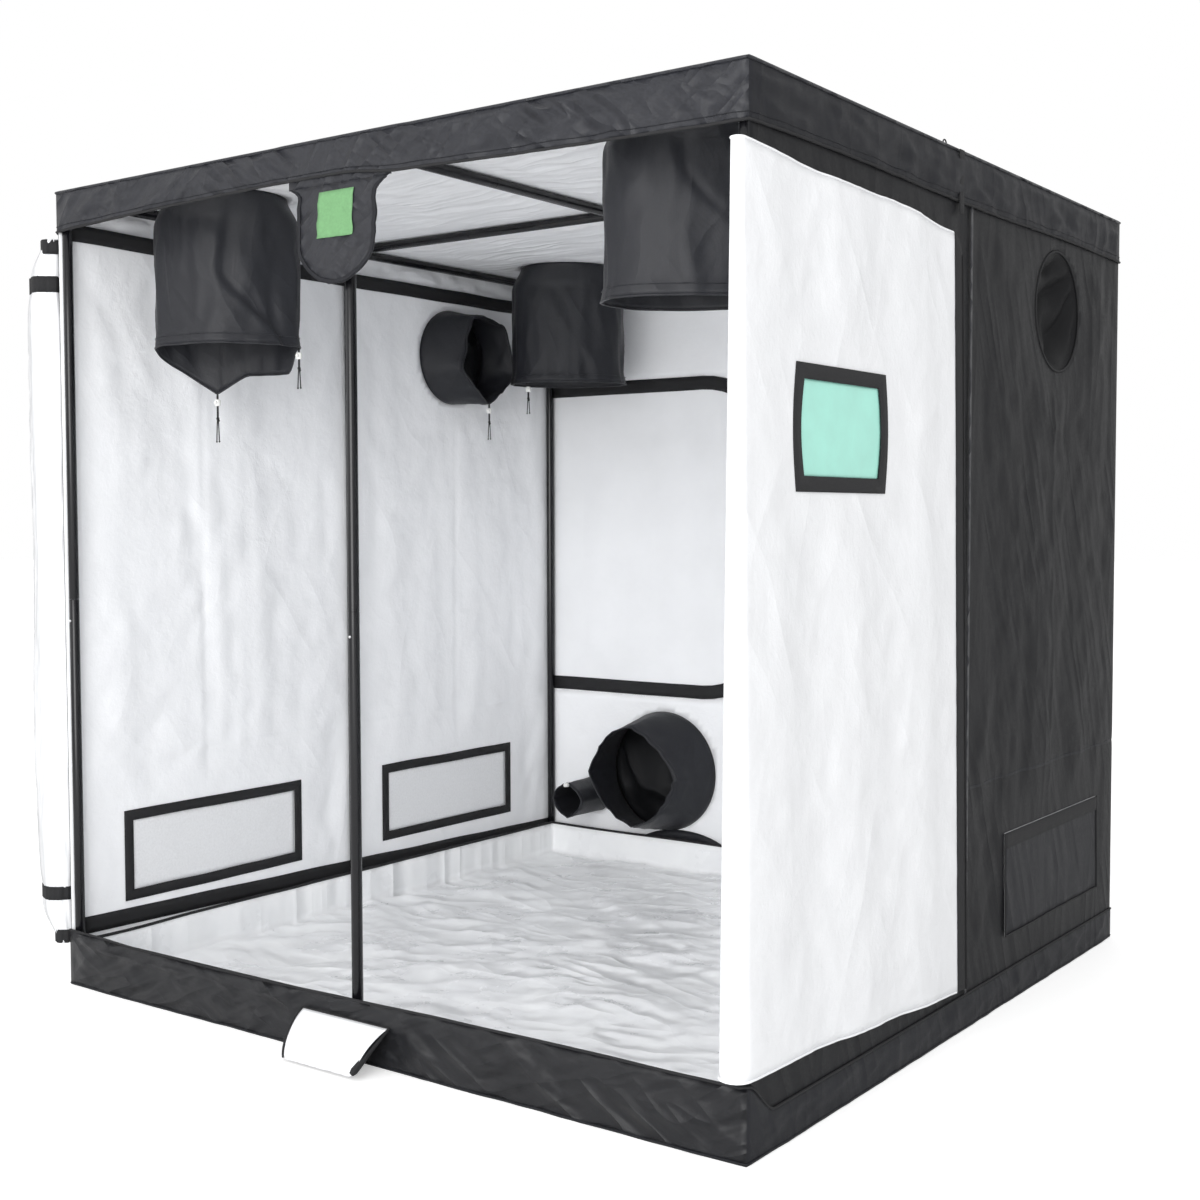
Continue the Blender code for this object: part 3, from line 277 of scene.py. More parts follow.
def nearest_on_outline(u, v, points):
    best = None
    for (u0, v0), (u1, v1) in zip(points, points[1:] + points[:1]):
        du, dv = u1 - u0, v1 - v0
        share = clamp(((u - u0) * du + (v - v0) * dv) / max(1e-12, du * du + dv * dv))
        pu, pv = u0 + du * share, v0 + dv * share
        gap = hypot(u - pu, v - pv)
        if best is None or gap < best[0]:
            best = (gap, pu, pv)
    return best[1], best[2]


def to_edge(u, v, hole):
    """Moves a point of the grid onto the edge of a hole."""
    if hole[0] == "circle":
        away = max(1e-9, hypot(u - hole[1], v - hole[2]))
        return hole[1] + (u - hole[1]) * hole[3] / away, hole[2] + (v - hole[2]) * hole[3] / away
    if hole[0] == "box":
        return u, v
    return nearest_on_outline(u, v, hole[1])


def cloth_grid(name, us, vs, place, holes=(), keep=None):
    """A sheet over a grid. Faces in a hole are left out, and its edge is drawn onto the outline."""
    shape = bmesh.new()
    cells = [(u, v) for v in vs for u in us]
    wide = len(us)
    faces = []
    dropped = {}
    for row in range(len(vs) - 1):
        for column in range(wide - 1):
            cu = (us[column] + us[column + 1]) / 2
            cv = (vs[row] + vs[row + 1]) / 2
            corners = (row * wide + column, row * wide + column + 1)
            corners += (corners[1] + wide, corners[0] + wide)
            hole = next((h for h in holes if in_hole(cu, cv, h)), None)
            if hole is None and (keep is None or in_hole(cu, cv, keep)):
                faces.append(corners)
            else:
                for corner in corners:
                    dropped[corner] = hole or keep
    used = {corner for face in faces for corner in face}
    verts = {}
    for corner in sorted(used):
        u, v = cells[corner]
        if corner in dropped:
            u, v = to_edge(u, v, dropped[corner])
        verts[corner] = shape.verts.new(place(u, v))
    for face in faces:
        shape.faces.new([verts[corner] for corner in face])
    bmesh.ops.recalc_face_normals(shape, faces=shape.faces)
    return smooth_mesh(name, shape)


def face_towards(mesh, direction):
    """Turns the whole sheet so that its faces look along a direction."""
    total = Vector()
    for polygon in mesh.polygons:
        total += polygon.normal * polygon.area
    if total.dot(Vector(direction)) < 0:
        mesh.flip_normals()


def thicken(obj, thickness, offset=-1.0, back=None, rim=None):
    solidify = obj.modifiers.new("thickness", "SOLIDIFY")
    solidify.thickness = thickness
    solidify.offset = offset
    if back is not None:
        solidify.material_offset = back
    if rim is not None:
        solidify.material_offset_rim = rim
    return obj


def cloth(name, mesh, facing, materials, body, nodes=(), thickness=CLOTH, offset=-1.0):
    """A two-sided cloth. Its first material faces along facing, its second the other way."""
    face_towards(mesh, facing)
    obj = new_object(name, mesh, materials)
    thicken(obj, thickness, offset, 1 if len(materials) > 1 else None, len(materials) - 1)
    return finish_piece(obj, body, nodes)


def curve_piece(name, points, radius, material, body, resolution=3, closed=False, nodes=()):
    """A round cord or piping along a line of points."""
    curve = bpy.data.curves.new(name, "CURVE")
    curve.dimensions = "3D"
    curve.bevel_depth = radius
    curve.bevel_resolution = resolution
    curve.use_fill_caps = not closed
    spline = curve.splines.new("POLY")
    spline.points.add(len(points) - 1)
    for target, point in zip(spline.points, points):
        target.co = (*point, 1)
    spline.use_cyclic_u = closed
    spline.use_smooth = True
    obj = new_object(name, curve, [material])
    return finish_piece(obj, body, nodes)


def strip_mesh(name, line, side, width):
    """A flat tape along a line of points: side gives the direction across it at each point."""
    points = []
    for point, across in zip(line, side):
        for share in (0, 0.34, 0.66, 1):
            points.append(point + across * (width * share))
    return mesh_from(name, points, sheet_faces(len(line) - 1, 4))


def tape(name, line, side, width, facing, body, thickness=TAPE_SHEET, material="tape", nodes=()):
    mesh = strip_mesh(name, line, side, width)
    return cloth(name, mesh, facing, [material], body, nodes, thickness, 1.0)


def lathe(profile, start, end, sides=28):
    """Points and faces of a profile of (radius, distance along) turned about a line."""
    start = Vector(start)
    axis = (Vector(end) - start).normalized()
    turn = axis.to_track_quat("Z", "Y").to_matrix()
    points = []
    for radius, along in profile:
        for angle in turns(sides):
            ring = turn @ Vector((radius * cos(angle), radius * sin(angle), 0))
            points.append(start + axis * along + ring)
    return points, capped_faces(len(profile) - 1, sides)


def capped_faces(rows, count):
    """Rings of faces, closed at both ends."""
    last = rows * count
    ends = [tuple(reversed(range(count))), tuple(last + i for i in range(count))]
    return ring_faces(rows, count) + ends


def joined_mesh(name, shapes, angle=40):
    points, faces = [], []
    for some_points, some_faces in shapes:
        base = len(points)
        points += some_points
        faces += [tuple(base + i for i in face) for face in some_faces]
    mesh = mesh_from(name, points, faces)
    mesh.set_sharp_from_angle(angle=radians(angle))
    return mesh


def solid_piece(name, shapes, material, body="tent", nodes=(), angle=40):
    """A piece made of closed shapes, each given as points and faces."""
    obj = new_object(name, joined_mesh(name, shapes, angle), [material])
    return finish_piece(obj, body, nodes)


# Shader groups
def group_base(name, inputs):
    """A shader group that gives a height and a tone, with its first nodes."""
    group = bpy.data.node_groups.new(name, "ShaderNodeTree")
    kind = "NodeSocketFloat"
    for label, value in inputs:
        socket = group.interface.new_socket(name=label, in_out="INPUT", socket_type=kind)
        socket.default_value = value
    for label in ("Height", "Tone"):
        group.interface.new_socket(name=label, in_out="OUTPUT", socket_type=kind)
    start = group.nodes.new("NodeGroupInput")
    end = group.nodes.new("NodeGroupOutput")
    where = group.nodes.new("ShaderNodeTexCoord")
    return group, start, end, where


def set_inputs(node, values):
    for label, value in values.items():
        node.inputs[label].default_value = value


def feed(tree, value, socket):
    """Sets a socket to a number, or links it to another node's output."""
    if isinstance(value, (int, float)):
        socket.default_value = value
    elif value is not None:
        tree.links.new(value, socket)


def maths(tree, operation, first, second=None):
    node = tree.nodes.new("ShaderNodeMath")
    node.operation = operation
    feed(tree, first, node.inputs[0])
    feed(tree, second, node.inputs[1])
    return node.outputs[0]


def weighted(tree, first, share, second, other):
    """The sum of two values, each times its own weight."""
    return maths(tree, "ADD", maths(tree, "MULTIPLY", first, share),
                 maths(tree, "MULTIPLY", second, other))


def noise_node(tree, vector, scale, detail=4.0, roughness=0.55):
    node = tree.nodes.new("ShaderNodeTexNoise")
    tree.links.new(vector, node.inputs["Vector"])
    feed(tree, scale, node.inputs["Scale"])
    set_inputs(node, {"Detail": detail, "Roughness": roughness})
    return node.outputs["Fac"]


def give(group, end, height, tone):
    """Links a group's height and tone to its outputs."""
    group.links.new(height, end.inputs["Height"])
    group.links.new(tone, end.inputs["Tone"])


def place_parts(group, where):
    """The three coordinates of a point on the piece."""
    split = group.nodes.new("ShaderNodeSeparateXYZ")
    group.links.new(where.outputs["Object"], split.inputs[0])
    return split.outputs


def make_weave_group():
    """Threads that cross at right angles, with some thicker than others."""
    group, start, end, where = group_base("woven_threads", (("Threads per metre", 700.0),))
    parts = place_parts(group, where)
    waves = []
    for axis in range(3):
        turned = maths(group, "MULTIPLY", parts[axis], start.outputs[0])
        turned = maths(group, "MULTIPLY", turned, 2 * pi)
        waves.append(maths(group, "SINE", turned))
    cross = maths(group, "MULTIPLY", waves[0], waves[2])
    other = maths(group, "MULTIPLY", waves[1], waves[2])
    flat = maths(group, "MULTIPLY", waves[0], waves[1])
    total = maths(group, "ADD", maths(group, "ADD", cross, other), flat)
    slub = noise_node(group, where.outputs["Object"], 160.0, 5.0, 0.7)
    give(group, end, maths(group, "ADD", maths(group, "MULTIPLY", total, 0.35), slub), slub)


def make_crease_group():
    """Small sharp creases over soft ones, for coated cloth that has been folded and packed."""
    inputs = (("Coarse", 9.0), ("Fine", 42.0))
    group, start, end, where = group_base("packed_creases", inputs)
    coarse = noise_node(group, where.outputs["Object"], start.outputs["Coarse"], 6.0, 0.6)
    fine = noise_node(group, where.outputs["Object"], start.outputs["Fine"], 3.0, 0.6)
    sharp = maths(group, "ABSOLUTE", maths(group, "SUBTRACT", coarse, 0.5))
    small = maths(group, "ABSOLUTE", maths(group, "SUBTRACT", fine, 0.5))
    total = weighted(group, sharp, -1.0, small, -0.25)
    give(group, end, total, coarse)


def make_slant_group():
    """Long creases that run one way, crossed in places by others, in cloth that stands or lies."""
    inputs = (("Across", 30.0), ("Along", 6.0), ("Turn", 0.7), ("Lying", 0.0))
    group, start, end, where = group_base("slanting_creases", inputs)
    parts = place_parts(group, where)
    standing = maths(group, "SUBTRACT", 1.0, start.outputs["Lying"])
    side = maths(group, "ADD", parts[0], maths(group, "MULTIPLY", parts[1], standing))
    rise = weighted(group, parts[2], standing, parts[1], start.outputs["Lying"])
    layers = []
    for factor, stretch in ((1.0, 1.0), (-0.8, 1.3)):
        turn = maths(group, "MULTIPLY", start.outputs["Turn"], factor)
        cosine, sine = maths(group, "COSINE", turn), maths(group, "SINE", turn)
        along = weighted(group, side, cosine, rise, sine)
        across = weighted(group, rise, cosine, side, maths(group, "MULTIPLY", sine, -1.0))
        place = group.nodes.new("ShaderNodeCombineXYZ")
        group.links.new(maths(group, "MULTIPLY", along, start.outputs["Along"]), place.inputs[0])
        group.links.new(maths(group, "MULTIPLY", across, start.outputs["Across"]), place.inputs[1])
        place.inputs[2].default_value = 3.7 * stretch
        pattern = noise_node(group, place.outputs[0], stretch, 1.4, 0.4)
        layers.append(maths(group, "ABSOLUTE", maths(group, "SUBTRACT", pattern, 0.5)))
    patches = noise_node(group, where.outputs["Object"], 3.2, 2.0, 0.5)
    share = ranged(group, patches, 0, 1, 0.42, 0.6)
    rest = maths(group, "SUBTRACT", 1.0, share)
    total = weighted(group, layers[0], rest, layers[1], share)
    give(group, end, maths(group, "MULTIPLY", total, -2.0), patches)


def make_rib_group():
    """Ribs across a woven tape, with a soft unevenness."""
    group, start, end, where = group_base("tape_ribs", (("Ribs per metre", 420.0),))
    parts = place_parts(group, where)
    total = maths(group, "ADD", parts[0], parts[1])
    total = maths(group, "ADD", total, parts[2])
    turned = maths(group, "MULTIPLY", total, start.outputs[0])
    wave = maths(group, "SINE", maths(group, "MULTIPLY", turned, 6.2832))
    soft = noise_node(group, where.outputs["Object"], 60.0)
    give(group, end, maths(group, "ADD", maths(group, "MULTIPLY", wave, 0.4), soft), soft)


# Materials
def blend_colour(tree, factor, first, second):
    """Blends from the first colour, a colour or another node's output, to the second."""
    node = tree.nodes.new("ShaderNodeMix")
    node.data_type = "RGBA"
    tree.links.new(factor, node.inputs["Factor"])
    if isinstance(first, tuple):
        node.inputs["A"].default_value = (*first, 1)
    else:
        tree.links.new(first, node.inputs["A"])
    node.inputs["B"].default_value = (*second, 1)
    return node.outputs["Result"]


def bump_node(tree, pattern, strength, distance):
    node = tree.nodes.new("ShaderNodeBump")
    set_inputs(node, {"Strength": strength, "Distance": distance})
    tree.links.new(pattern.outputs["Height"], node.inputs["Height"])
    return node


def ranged(tree, value, low, high, from_low=0.3, from_high=0.7):
    node = tree.nodes.new("ShaderNodeMapRange")
    tree.links.new(value, node.inputs["Value"])
    set_inputs(node, {"From Min": from_low, "From Max": from_high, "To Min": low, "To Max": high})
    return node.outputs["Result"]


def surface(name, colours, rough, group, values, bump, fixed, distance, creased=None, rim=None):
    """A material whose colour, roughness and bump come from shader groups.

    creased adds long creases: their settings, strength and height. rim paints shade on the contour:
    the colour darkens where the surface turns away.
    """
    material = bpy.data.materials.new(name)
    material.use_nodes = True
    tree = material.node_tree
    shader = tree.nodes["Principled BSDF"]
    pattern = tree.nodes.new("ShaderNodeGroup")
    pattern.node_tree = bpy.data.node_groups[group]
    set_inputs(pattern, values)
    dark, light = colours
    tone = ranged(tree, pattern.outputs["Tone"], 0, 1)
    colour = blend_colour(tree, tone, dark, light)
    # Painted shade: towards the contour, where the surface turns from view, the colour darkens to
    # the dark colour times rim.
    if rim:
        weight = tree.nodes.new("ShaderNodeLayerWeight")
        weight.inputs["Blend"].default_value = 0.3
        colour = blend_colour(tree, weight.outputs["Facing"], colour, shade(dark, rim))
    tree.links.new(colour, shader.inputs["Base Color"])
    tree.links.new(ranged(tree, pattern.outputs["Tone"], *rough), shader.inputs["Roughness"])
    bumped = bump_node(tree, pattern, bump, distance)
    if creased:
        folds = tree.nodes.new("ShaderNodeGroup")
        folds.node_tree = bpy.data.node_groups["slanting_creases"]
        set_inputs(folds, creased[0])
        under = bump_node(tree, folds, creased[1], creased[2])
        tree.links.new(under.outputs["Normal"], bumped.inputs["Normal"])
    tree.links.new(bumped.outputs["Normal"], shader.inputs["Normal"])
    set_inputs(shader, fixed)
    return material


def shade(colour, factor):
    return tuple(clamp(channel * factor) for channel in colour)


def shades(colour, low, high):
    return shade(colour, low), shade(colour, high)


def creases(across, along, turn, strength, height, lying=0.0):
    """Long creases: how many to a metre each way, their direction, strength and height."""
    return {"Across": across, "Along": along, "Turn": turn, "Lying": lying}, strength, height


def make_materials():
    make_weave_group()
    make_crease_group()
    make_slant_group()
    make_rib_group()
    colours = look()
    black = tuple(colours.black_cloth)
    white = tuple(colours.white_cloth)
    weave = "woven_threads"
    crease = "packed_creases"
    sheen = {"Sheen Weight": 0.05, "Sheen Roughness": 0.4, "Specular IOR Level": 0.4}
    plain = {"Specular IOR Level": 0.25}
    side_creases = creases(13.0, 1.2, 1.5, 0.8, 0.011)
    # Painted light and shade: one black cloth in lit and shaded copies. oxford is painted lighter
    # for the light and sheen on the front band and tab. The copies after it are painted darker for
    # shade on the low front band, the sides and the walls.
    surface("oxford", shades(black, 1.05, 2.1), (0.36, 0.5), weave, {}, 0.3, sheen, 0.0006,
            creases(17.0, 4.5, 0.75, 1.0, 0.03))
    surface("shaded_base_oxford", shades(black, 0.4, 0.9), (0.32, 0.46), weave, {}, 0.3, sheen, 0.0006,
            creases(15.0, 3.2, -0.5, 1.0, 0.035))
    surface("shaded_oxford_side", shades(black, 0.65, 1.45), (0.46, 0.62), weave, {}, 0.35, plain, 0.0006,
            side_creases)
    surface("shaded_wall_oxford", shades(black, 0.3, 0.68), (0.46, 0.62), weave, {}, 0.35, plain, 0.0006,
            side_creases)
    surface("sock_cloth", shades(black, 0.95, 1.7), (0.42, 0.56), weave, {}, 0.3, sheen, 0.0006,
            creases(11.0, 4.0, 1.1, 0.6, 0.008))
    # Painted shade: the ports' drawn-shut ends get the black cloth painted near black, for the
    # shade in their recess.
    surface("port_shade_cloth", shades(black, 0.18, 0.45), (0.55, 0.7), weave, {}, 0.3, plain, 0.0006)
    folded = {"Coarse": 12.0, "Fine": 50.0}
    hung = creases(5.5, 1.6, 1.2, 0.7, 0.011)
    surface("liner", shades(white, 0.99, 1.02), (0.4, 0.54), crease, folded, 0.6, {}, 0.006, hung)
    # Painted shade: the folded-back door's liner is a copy of the liner painted darker, to tone
    # down the light on its outer face.
    surface("shaded_door_liner", shades(white, 0.86, 0.9), (0.42, 0.55), crease, folded, 0.6, {}, 0.006,
            hung)
    surface("roof_liner", shades(white, 0.97, 1), (0.4, 0.52), crease, folded, 0.4, {}, 0.005,
            creases(14.0, 2.5, 0.12, 0.8, 0.012, 1.0))
    # Painted shade: the rolled door is a copy of the liner painted darker, with more painted shade
    # towards its contour.
    surface("shaded_roll_liner", shades(white, 0.86, 0.93), (0.42, 0.55), crease, {}, 0.4, {}, 0.006,
            None, 0.5)
    surface("liner_smooth", shades(white, 0.92, 0.97), (0.4, 0.5), crease,
            {"Coarse": 4.0, "Fine": 26.0}, 0.3, {}, 0.006)
    tray = {"Coarse": 4.5, "Fine": 22.0}
    surface("tray", shades(white, 0.95, 1.04), (0.24, 0.34), crease, tray, 0.13,
            {"Coat Weight": 0.3}, 0.006, creases(7.5, 1.9, 0.3, 0.9, 0.024, 1.0))
    surface("tape", ((0.006, 0.006, 0.007), (0.016, 0.016, 0.018)), (0.75, 0.9), "tape_ribs", {},
            0.4, {}, 0.0005)
    pole = tuple(colours.pole)
    coat = {"Metallic": 0.0, "Coat Weight": 0.12, "Coat Roughness": 0.15,
            "Specular IOR Level": 0.35}
    surface("powder_coat", shades(pole, 0.8, 1.2), (0.2, 0.28), crease,
            {"Coarse": 300.0, "Fine": 900.0}, 0.04, coat, 0.0002)
    steel = {"Metallic": 1.0}
    surface("bright_steel", ((0.62, 0.62, 0.64), (0.8, 0.8, 0.8)), (0.2, 0.35), crease,
            {"Coarse": 200.0}, 0.05, steel, 0.0002)
    pane = tuple(colours.pane)
    film = {"Transmission Weight": 0.0, "Coat Weight": 0.25, "Coat Roughness": 0.25}
    surface("green_film", shades(pane, 0.94, 1.05), (0.3, 0.45), crease, {"Coarse": 12.0}, 0.2,
            film, 0.003)
    patch = tuple(colours.patch)
    surface("green_patch", shades(patch, 0.85, 1.1), (0.6, 0.75), weave, {}, 0.4, {}, 0.0005)
    surface("net", shades(white, 0.86, 0.97), (0.6, 0.8), weave, {"Threads per metre": 900.0}, 0.5,
            {}, 0.0006)
    surface("cord", ((0.008, 0.008, 0.009), (0.03, 0.03, 0.032)), (0.6, 0.85), "tape_ribs",
            {"Ribs per metre": 700.0}, 0.8, {}, 0.0004)
    plastic = {"Coat Weight": 0.2}
    surface("white_plastic", ((0.8, 0.8, 0.78), (0.88, 0.88, 0.86)), (0.25, 0.4), crease,
            {"Coarse": 120.0}, 0.05, plastic, 0.0002)
    surface("black_metal", ((0.01, 0.01, 0.011), (0.03, 0.03, 0.032)), (0.3, 0.5), crease,
            {"Coarse": 220.0}, 0.1, steel, 0.0002)


# The pole frame
def rod(start, end, joints=()):
    """A pole: rounded at both ends, with a fine step where two lengths meet."""
    radius = POLE_RADIUS
    length = (Vector(end) - Vector(start)).length
    profile = [(radius * 0.97, 0), (radius, 0.0006)]
    for joint in sorted(joints):
        for shift, drop in ((-0.0012, 0), (-0.0008, 0.0007), (0.0006, 0.0007), (0.001, 0)):
            profile.append((radius - drop, joint + shift))
    profile += [(radius, length - 0.0006), (radius * 0.97, length)]
    return lathe(profile, start, end)


def upright(middle, low, high, joints=()):
    return rod((middle.x, middle.y, low), (middle.x, middle.y, high), joints)


def ball(centre, radius):
    shares = [i / 10 for i in range(1, 10)]
    profile = [(radius * sin(pi * s), -radius * cos(pi * s)) for s in shares]
    return lathe(profile, centre, Vector(centre) + UP, 20)


def dome(centre, facing):
    """The round head of a spring button."""
    radius, height = 0.0035, 0.003
    profile = [(radius, -0.001), (radius, height * 0.4), (radius * 0.8, height * 0.8),
               (radius * 0.4, height)]
    return lathe(profile, centre, Vector(centre) + Vector(facing), 14)


def pole_piece(node, shapes):
    return solid_piece(f"{node}_look", shapes, "powder_coat", "tent", [node])


def node_middle(node):
    low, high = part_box(node)
    return (low + high) / 2, low, high


def make_posts():
    for node in ("front_mid_post", "right_mid_post", "rear_mid_post", "left_mid_post"):
        middle, low, high = node_middle(node)
        shape = upright(middle, low.z, high.z, [POST_JOINT - low.z])
        facing = Vector((middle.x, middle.y, 0)).normalized()
        button = dome(Vector((middle.x, middle.y, BUTTON_HEIGHT)) + facing * POLE_RADIUS, facing)
        pole_piece(node, [shape])
        solid_piece(f"{node}_stud", [button], "bright_steel", "tent", ())
    for side, sign in (("left", -1), ("right", 1)):
        middle, low, high = node_middle(f"front_{side}_post_lower")
        pole_piece(f"front_{side}_post_lower", [upright(middle, low.z, high.z)])
        middle, low, high = node_middle(f"front_{side}_post_upper")
        pole_piece(f"front_{side}_post_upper", [upright(middle, POST_JOINT + 0.0006, high.z)])
        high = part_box(f"front_{side}_top_corner")[1]
        knot = Vector((sign * abs(middle.x), middle.y, high.z - FITTING_RADIUS))
        arms = [Vector((-sign, 0, 0)), Vector((0, 1, 0)), Vector((0, 0, -1))]
        shapes = [ball(knot, FITTING_RADIUS)] + [rod(knot, knot + arm * COLLAR) for arm in arms]
        pole_piece(f"front_{side}_top_corner", shapes)
        button = dome(Vector((middle.x, middle.y - POLE_RADIUS, BUTTON_HEIGHT)), FRONT)
        node = f"front_{side}_snap_button"
        solid_piece(f"front_{side}_button_look", [button], "bright_steel", node, [node])
        low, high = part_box(f"rear_{side}_post")
        top = high.z - FITTING_RADIUS
        knot = Vector((sign * abs(middle.x), abs(middle.y), top))
        joints = [POST_JOINT - low.z, top - COLLAR - low.z]
        shapes = [upright(knot, low.z, top, joints), ball(knot, FITTING_RADIUS)]
        shapes += [rod(knot, knot + arm * COLLAR) for arm in (Vector((-sign, 0, 0)), Vector(FRONT))]
        pole_piece(f"rear_{side}_post", shapes)


def make_rails():
    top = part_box("front_left_top_corner")[1].z - FITTING_RADIUS
    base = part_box("base_frame")[0].z + FITTING_RADIUS
    far = abs(node_middle("left_mid_post")[0].x)
    run = COLLAR + GAP
    ways = {"front": (0, -1), "right": (1, 0), "rear": (0, 1), "left": (-1, 0)}
    base_shapes = []
    for name, (sx, sy) in ways.items():
        along = Vector((abs(sy), abs(sx), 0))
        middle = Vector((sx * far, sy * far, top))
        joints = [far - run - COLLAR, far - run + COLLAR]
        reach = along * (far - run)
        shapes = [rod(middle - reach, middle + reach, joints), ball(middle, FITTING_RADIUS)]
        shapes.append(rod(middle, middle + Vector((0, 0, -COLLAR))))
        shapes.append(rod(middle, middle - Vector((sx, sy, 0)) * COLLAR))
        pole_piece(f"{name}_top_rail", shapes)
        low = Vector((sx * far, sy * far, base))
        joints = [COLLAR, far - COLLAR, far + COLLAR, 2 * far - COLLAR]
        base_shapes.append(rod(low - along * far, low + along * far, joints))
        base_shapes.append(rod(low, low + Vector((0, 0, COLLAR))))
    for sx, sy in CORNERS.values():
        corner = Vector((sx * far, sy * far, base))
        base_shapes += [ball(corner, FITTING_RADIUS), rod(corner, corner + Vector((0, 0, COLLAR)))]
    pole_piece("base_frame", base_shapes)
    cross = Vector((0, 0, top))
    joints = [far - run + shift for shift in (-ROOF_JOINT, -COLLAR, COLLAR, ROOF_JOINT)]
    shapes = [rod((0, -far + run, top), (0, far - run, top), joints), ball(cross, FITTING_RADIUS)]
    shapes += [rod(cross, cross + Vector((sign * COLLAR, 0, 0))) for sign in (-1, 1)]
    pole_piece("roof_bar_with_cross", shapes)
    for name, sign in (("left", -1), ("right", 1)):
        shape = rod((sign * run, 0, top), (sign * (far - run), 0, top), [ROOF_JOINT - run])
        pole_piece(f"roof_bar_{name}", [shape])


# The walls
HELD_FLAT = {
    1: (((LEFT_PORT_Y, WALL_PORT_Z, PORT_RADIUS),), LEFT_VENTS),
    2: (((RIGHT_PORT_Y, WALL_PORT_Z, PORT_RADIUS),), RIGHT_VENTS),
    5: ((INLET, CABLE_PORT), ()),
}
FOLD_LINES = (-0.55, 0.5)
WALL_PULLS = ((1.86, -1.1), (1.86, -2.1), (0.12, 1.1), (0.12, 2.05), (0.56, 1.3), (0.56, -1.9))


def wall_mask(along, height):
    """Nought where the cloth is held: at the posts, the base and the roof band."""
    posts = min(abs(along - post) for post in (-0.99, 0, 0.99))
    held = ease(posts / 0.09)
    return held * ease((height - SIDE_BASE) / 0.12) * ease((BAND_BOTTOM - height) / 0.1)


def held_flat(along, height, seed):
    """Nought at a wall's ports and vents, where their edging keeps the cloth flat."""
    ports, vents = HELD_FLAT.get(seed, ((), ()))
    mask = 1.0
    for cu, cv, radius in ports:
        mask *= ease((hypot(along - cu, height - cv) - radius - 0.004) / 0.1)
    for centre in vents:
        du = max(0, abs(along - centre) - VENT_WIDTH / 2 - 0.02)
        dv = max(0, VENT_BOTTOM - 0.025 - height, height - VENT_BOTTOM - VENT_HEIGHT - 0.015)
        mask *= ease(hypot(du, dv) / 0.12)
    return mask


def wall_slack(along, height, seed):
    """How far a wall stands outward of its plane, in metres."""
    amount = look().wrinkle
    mask = wall_mask(along, height) * held_flat(along, height, seed)
    lean = along + 0.13 * soft_noise(along * 1.4, height * 0.8, seed)
    upright = soft_noise(lean * 5.2, height * 0.5, seed * 3.3)
    narrow = ridge(Vector((lean * 8.5, height * 0.8, seed * 4.1)))
    slack = amount * (0.3 + 1.1 * upright + 0.25 * narrow + 1.0 * crumple(along, height, seed, 0.3))
    places = []
    for post in (-0.97, 0.0, 0.97):
        for level, turn in WALL_PULLS:
            shift = soft_noise(post * 3 + seed, level, turn)
            level, turn = level + 0.05 * shift, turn + 0.5 * shift
            places.append((post, level, turn, 0.6, 0.022, amount * 0.6))
    slack += pulls(along, height, places)
    if seed == 2 and along < 0.02:
        slack = 0.001 - 0.6 * abs(slack)
    seam = exp(-(((height - SEAM) / SEAM_HALF) ** 2))
    fold = sum(exp(-(((along - line) / 0.007) ** 2)) for line in FOLD_LINES)
    slack = mask * slack - 0.0014 * seam * held_flat(along, height, seed)
    return slack + 0.0024 * fold * mask * (1 - seam)


def vent_box(y):
    half = VENT_WIDTH / 2 - VENT_TAPE
    return box_hole(y - half, y + half, VENT_BOTTOM + VENT_TAPE,
                    VENT_BOTTOM + VENT_HEIGHT - VENT_TAPE)


def side_wall_x(sign, along, height, seed):
    return sign * (HALF - CLOTH / 2 + wall_slack(along, height, seed))


def wall_cloth(side, mesh, facing):
    """A wall's cloth, white inside and black outside, the outside a copy of the black cloth painted
    darker as shade.
    """
    obj = cloth(f"{side}_wall_cloth", mesh, facing, ["liner", "shaded_wall_oxford"], "tent",
                [f"{side}_wall"], CLOTH, 0.0)


def make_side_walls():
    plans = (("left", -1, LEFT_PORT_Y, LEFT_VENTS, 1), ("right", 1, RIGHT_PORT_Y, RIGHT_VENTS, 2))
    for side, sign, port_y, vents, seed in plans:
        holes = [circle_hole(port_y, WALL_PORT_Z, PORT_RADIUS)] + [vent_box(y) for y in vents]
        breaks_u = [edge for hole in holes[1:] for edge in hole[1:3]]
        breaks_u += [line + shift for line in FOLD_LINES for shift in (-0.009, 0, 0.009)]
        breaks_v = [VENT_BOTTOM + VENT_TAPE, VENT_BOTTOM + VENT_HEIGHT - VENT_TAPE,
                    SEAM - SEAM_HALF, SEAM, SEAM + SEAM_HALF]
        us = steps(-0.9985, 0.9998, WALL_GRID, breaks_u)
        vs = steps(SIDE_BASE - 0.012, BAND_BOTTOM + 0.02, WALL_GRID, breaks_v)

        def place(u, v):
            return Vector((side_wall_x(sign, u, v, seed), u, v))

        mesh = cloth_grid(f"{side}_wall", us, vs, place, holes)
        wall_cloth(side, mesh, (-sign, 0, 0))
        make_wall_trim(side, sign, seed)
        make_seam_line(f"{side}_wall_seam", sign, seed)


def make_seam_line(name, sign, seed):
    """The stitched seam across a side wall, seen from outside as a fine ridge."""
    line = []
    side = []
    for u in steps(-0.99, 0.99, 0.03):
        line.append(Vector((side_wall_x(sign, u, SEAM, seed) + sign * 0.0012, u, SEAM - 0.004)))
        side.append(UP)
    tape(name, line, side, 0.008, (sign, 0, 0), "tent", 0.0006, "shaded_oxford_side", ())


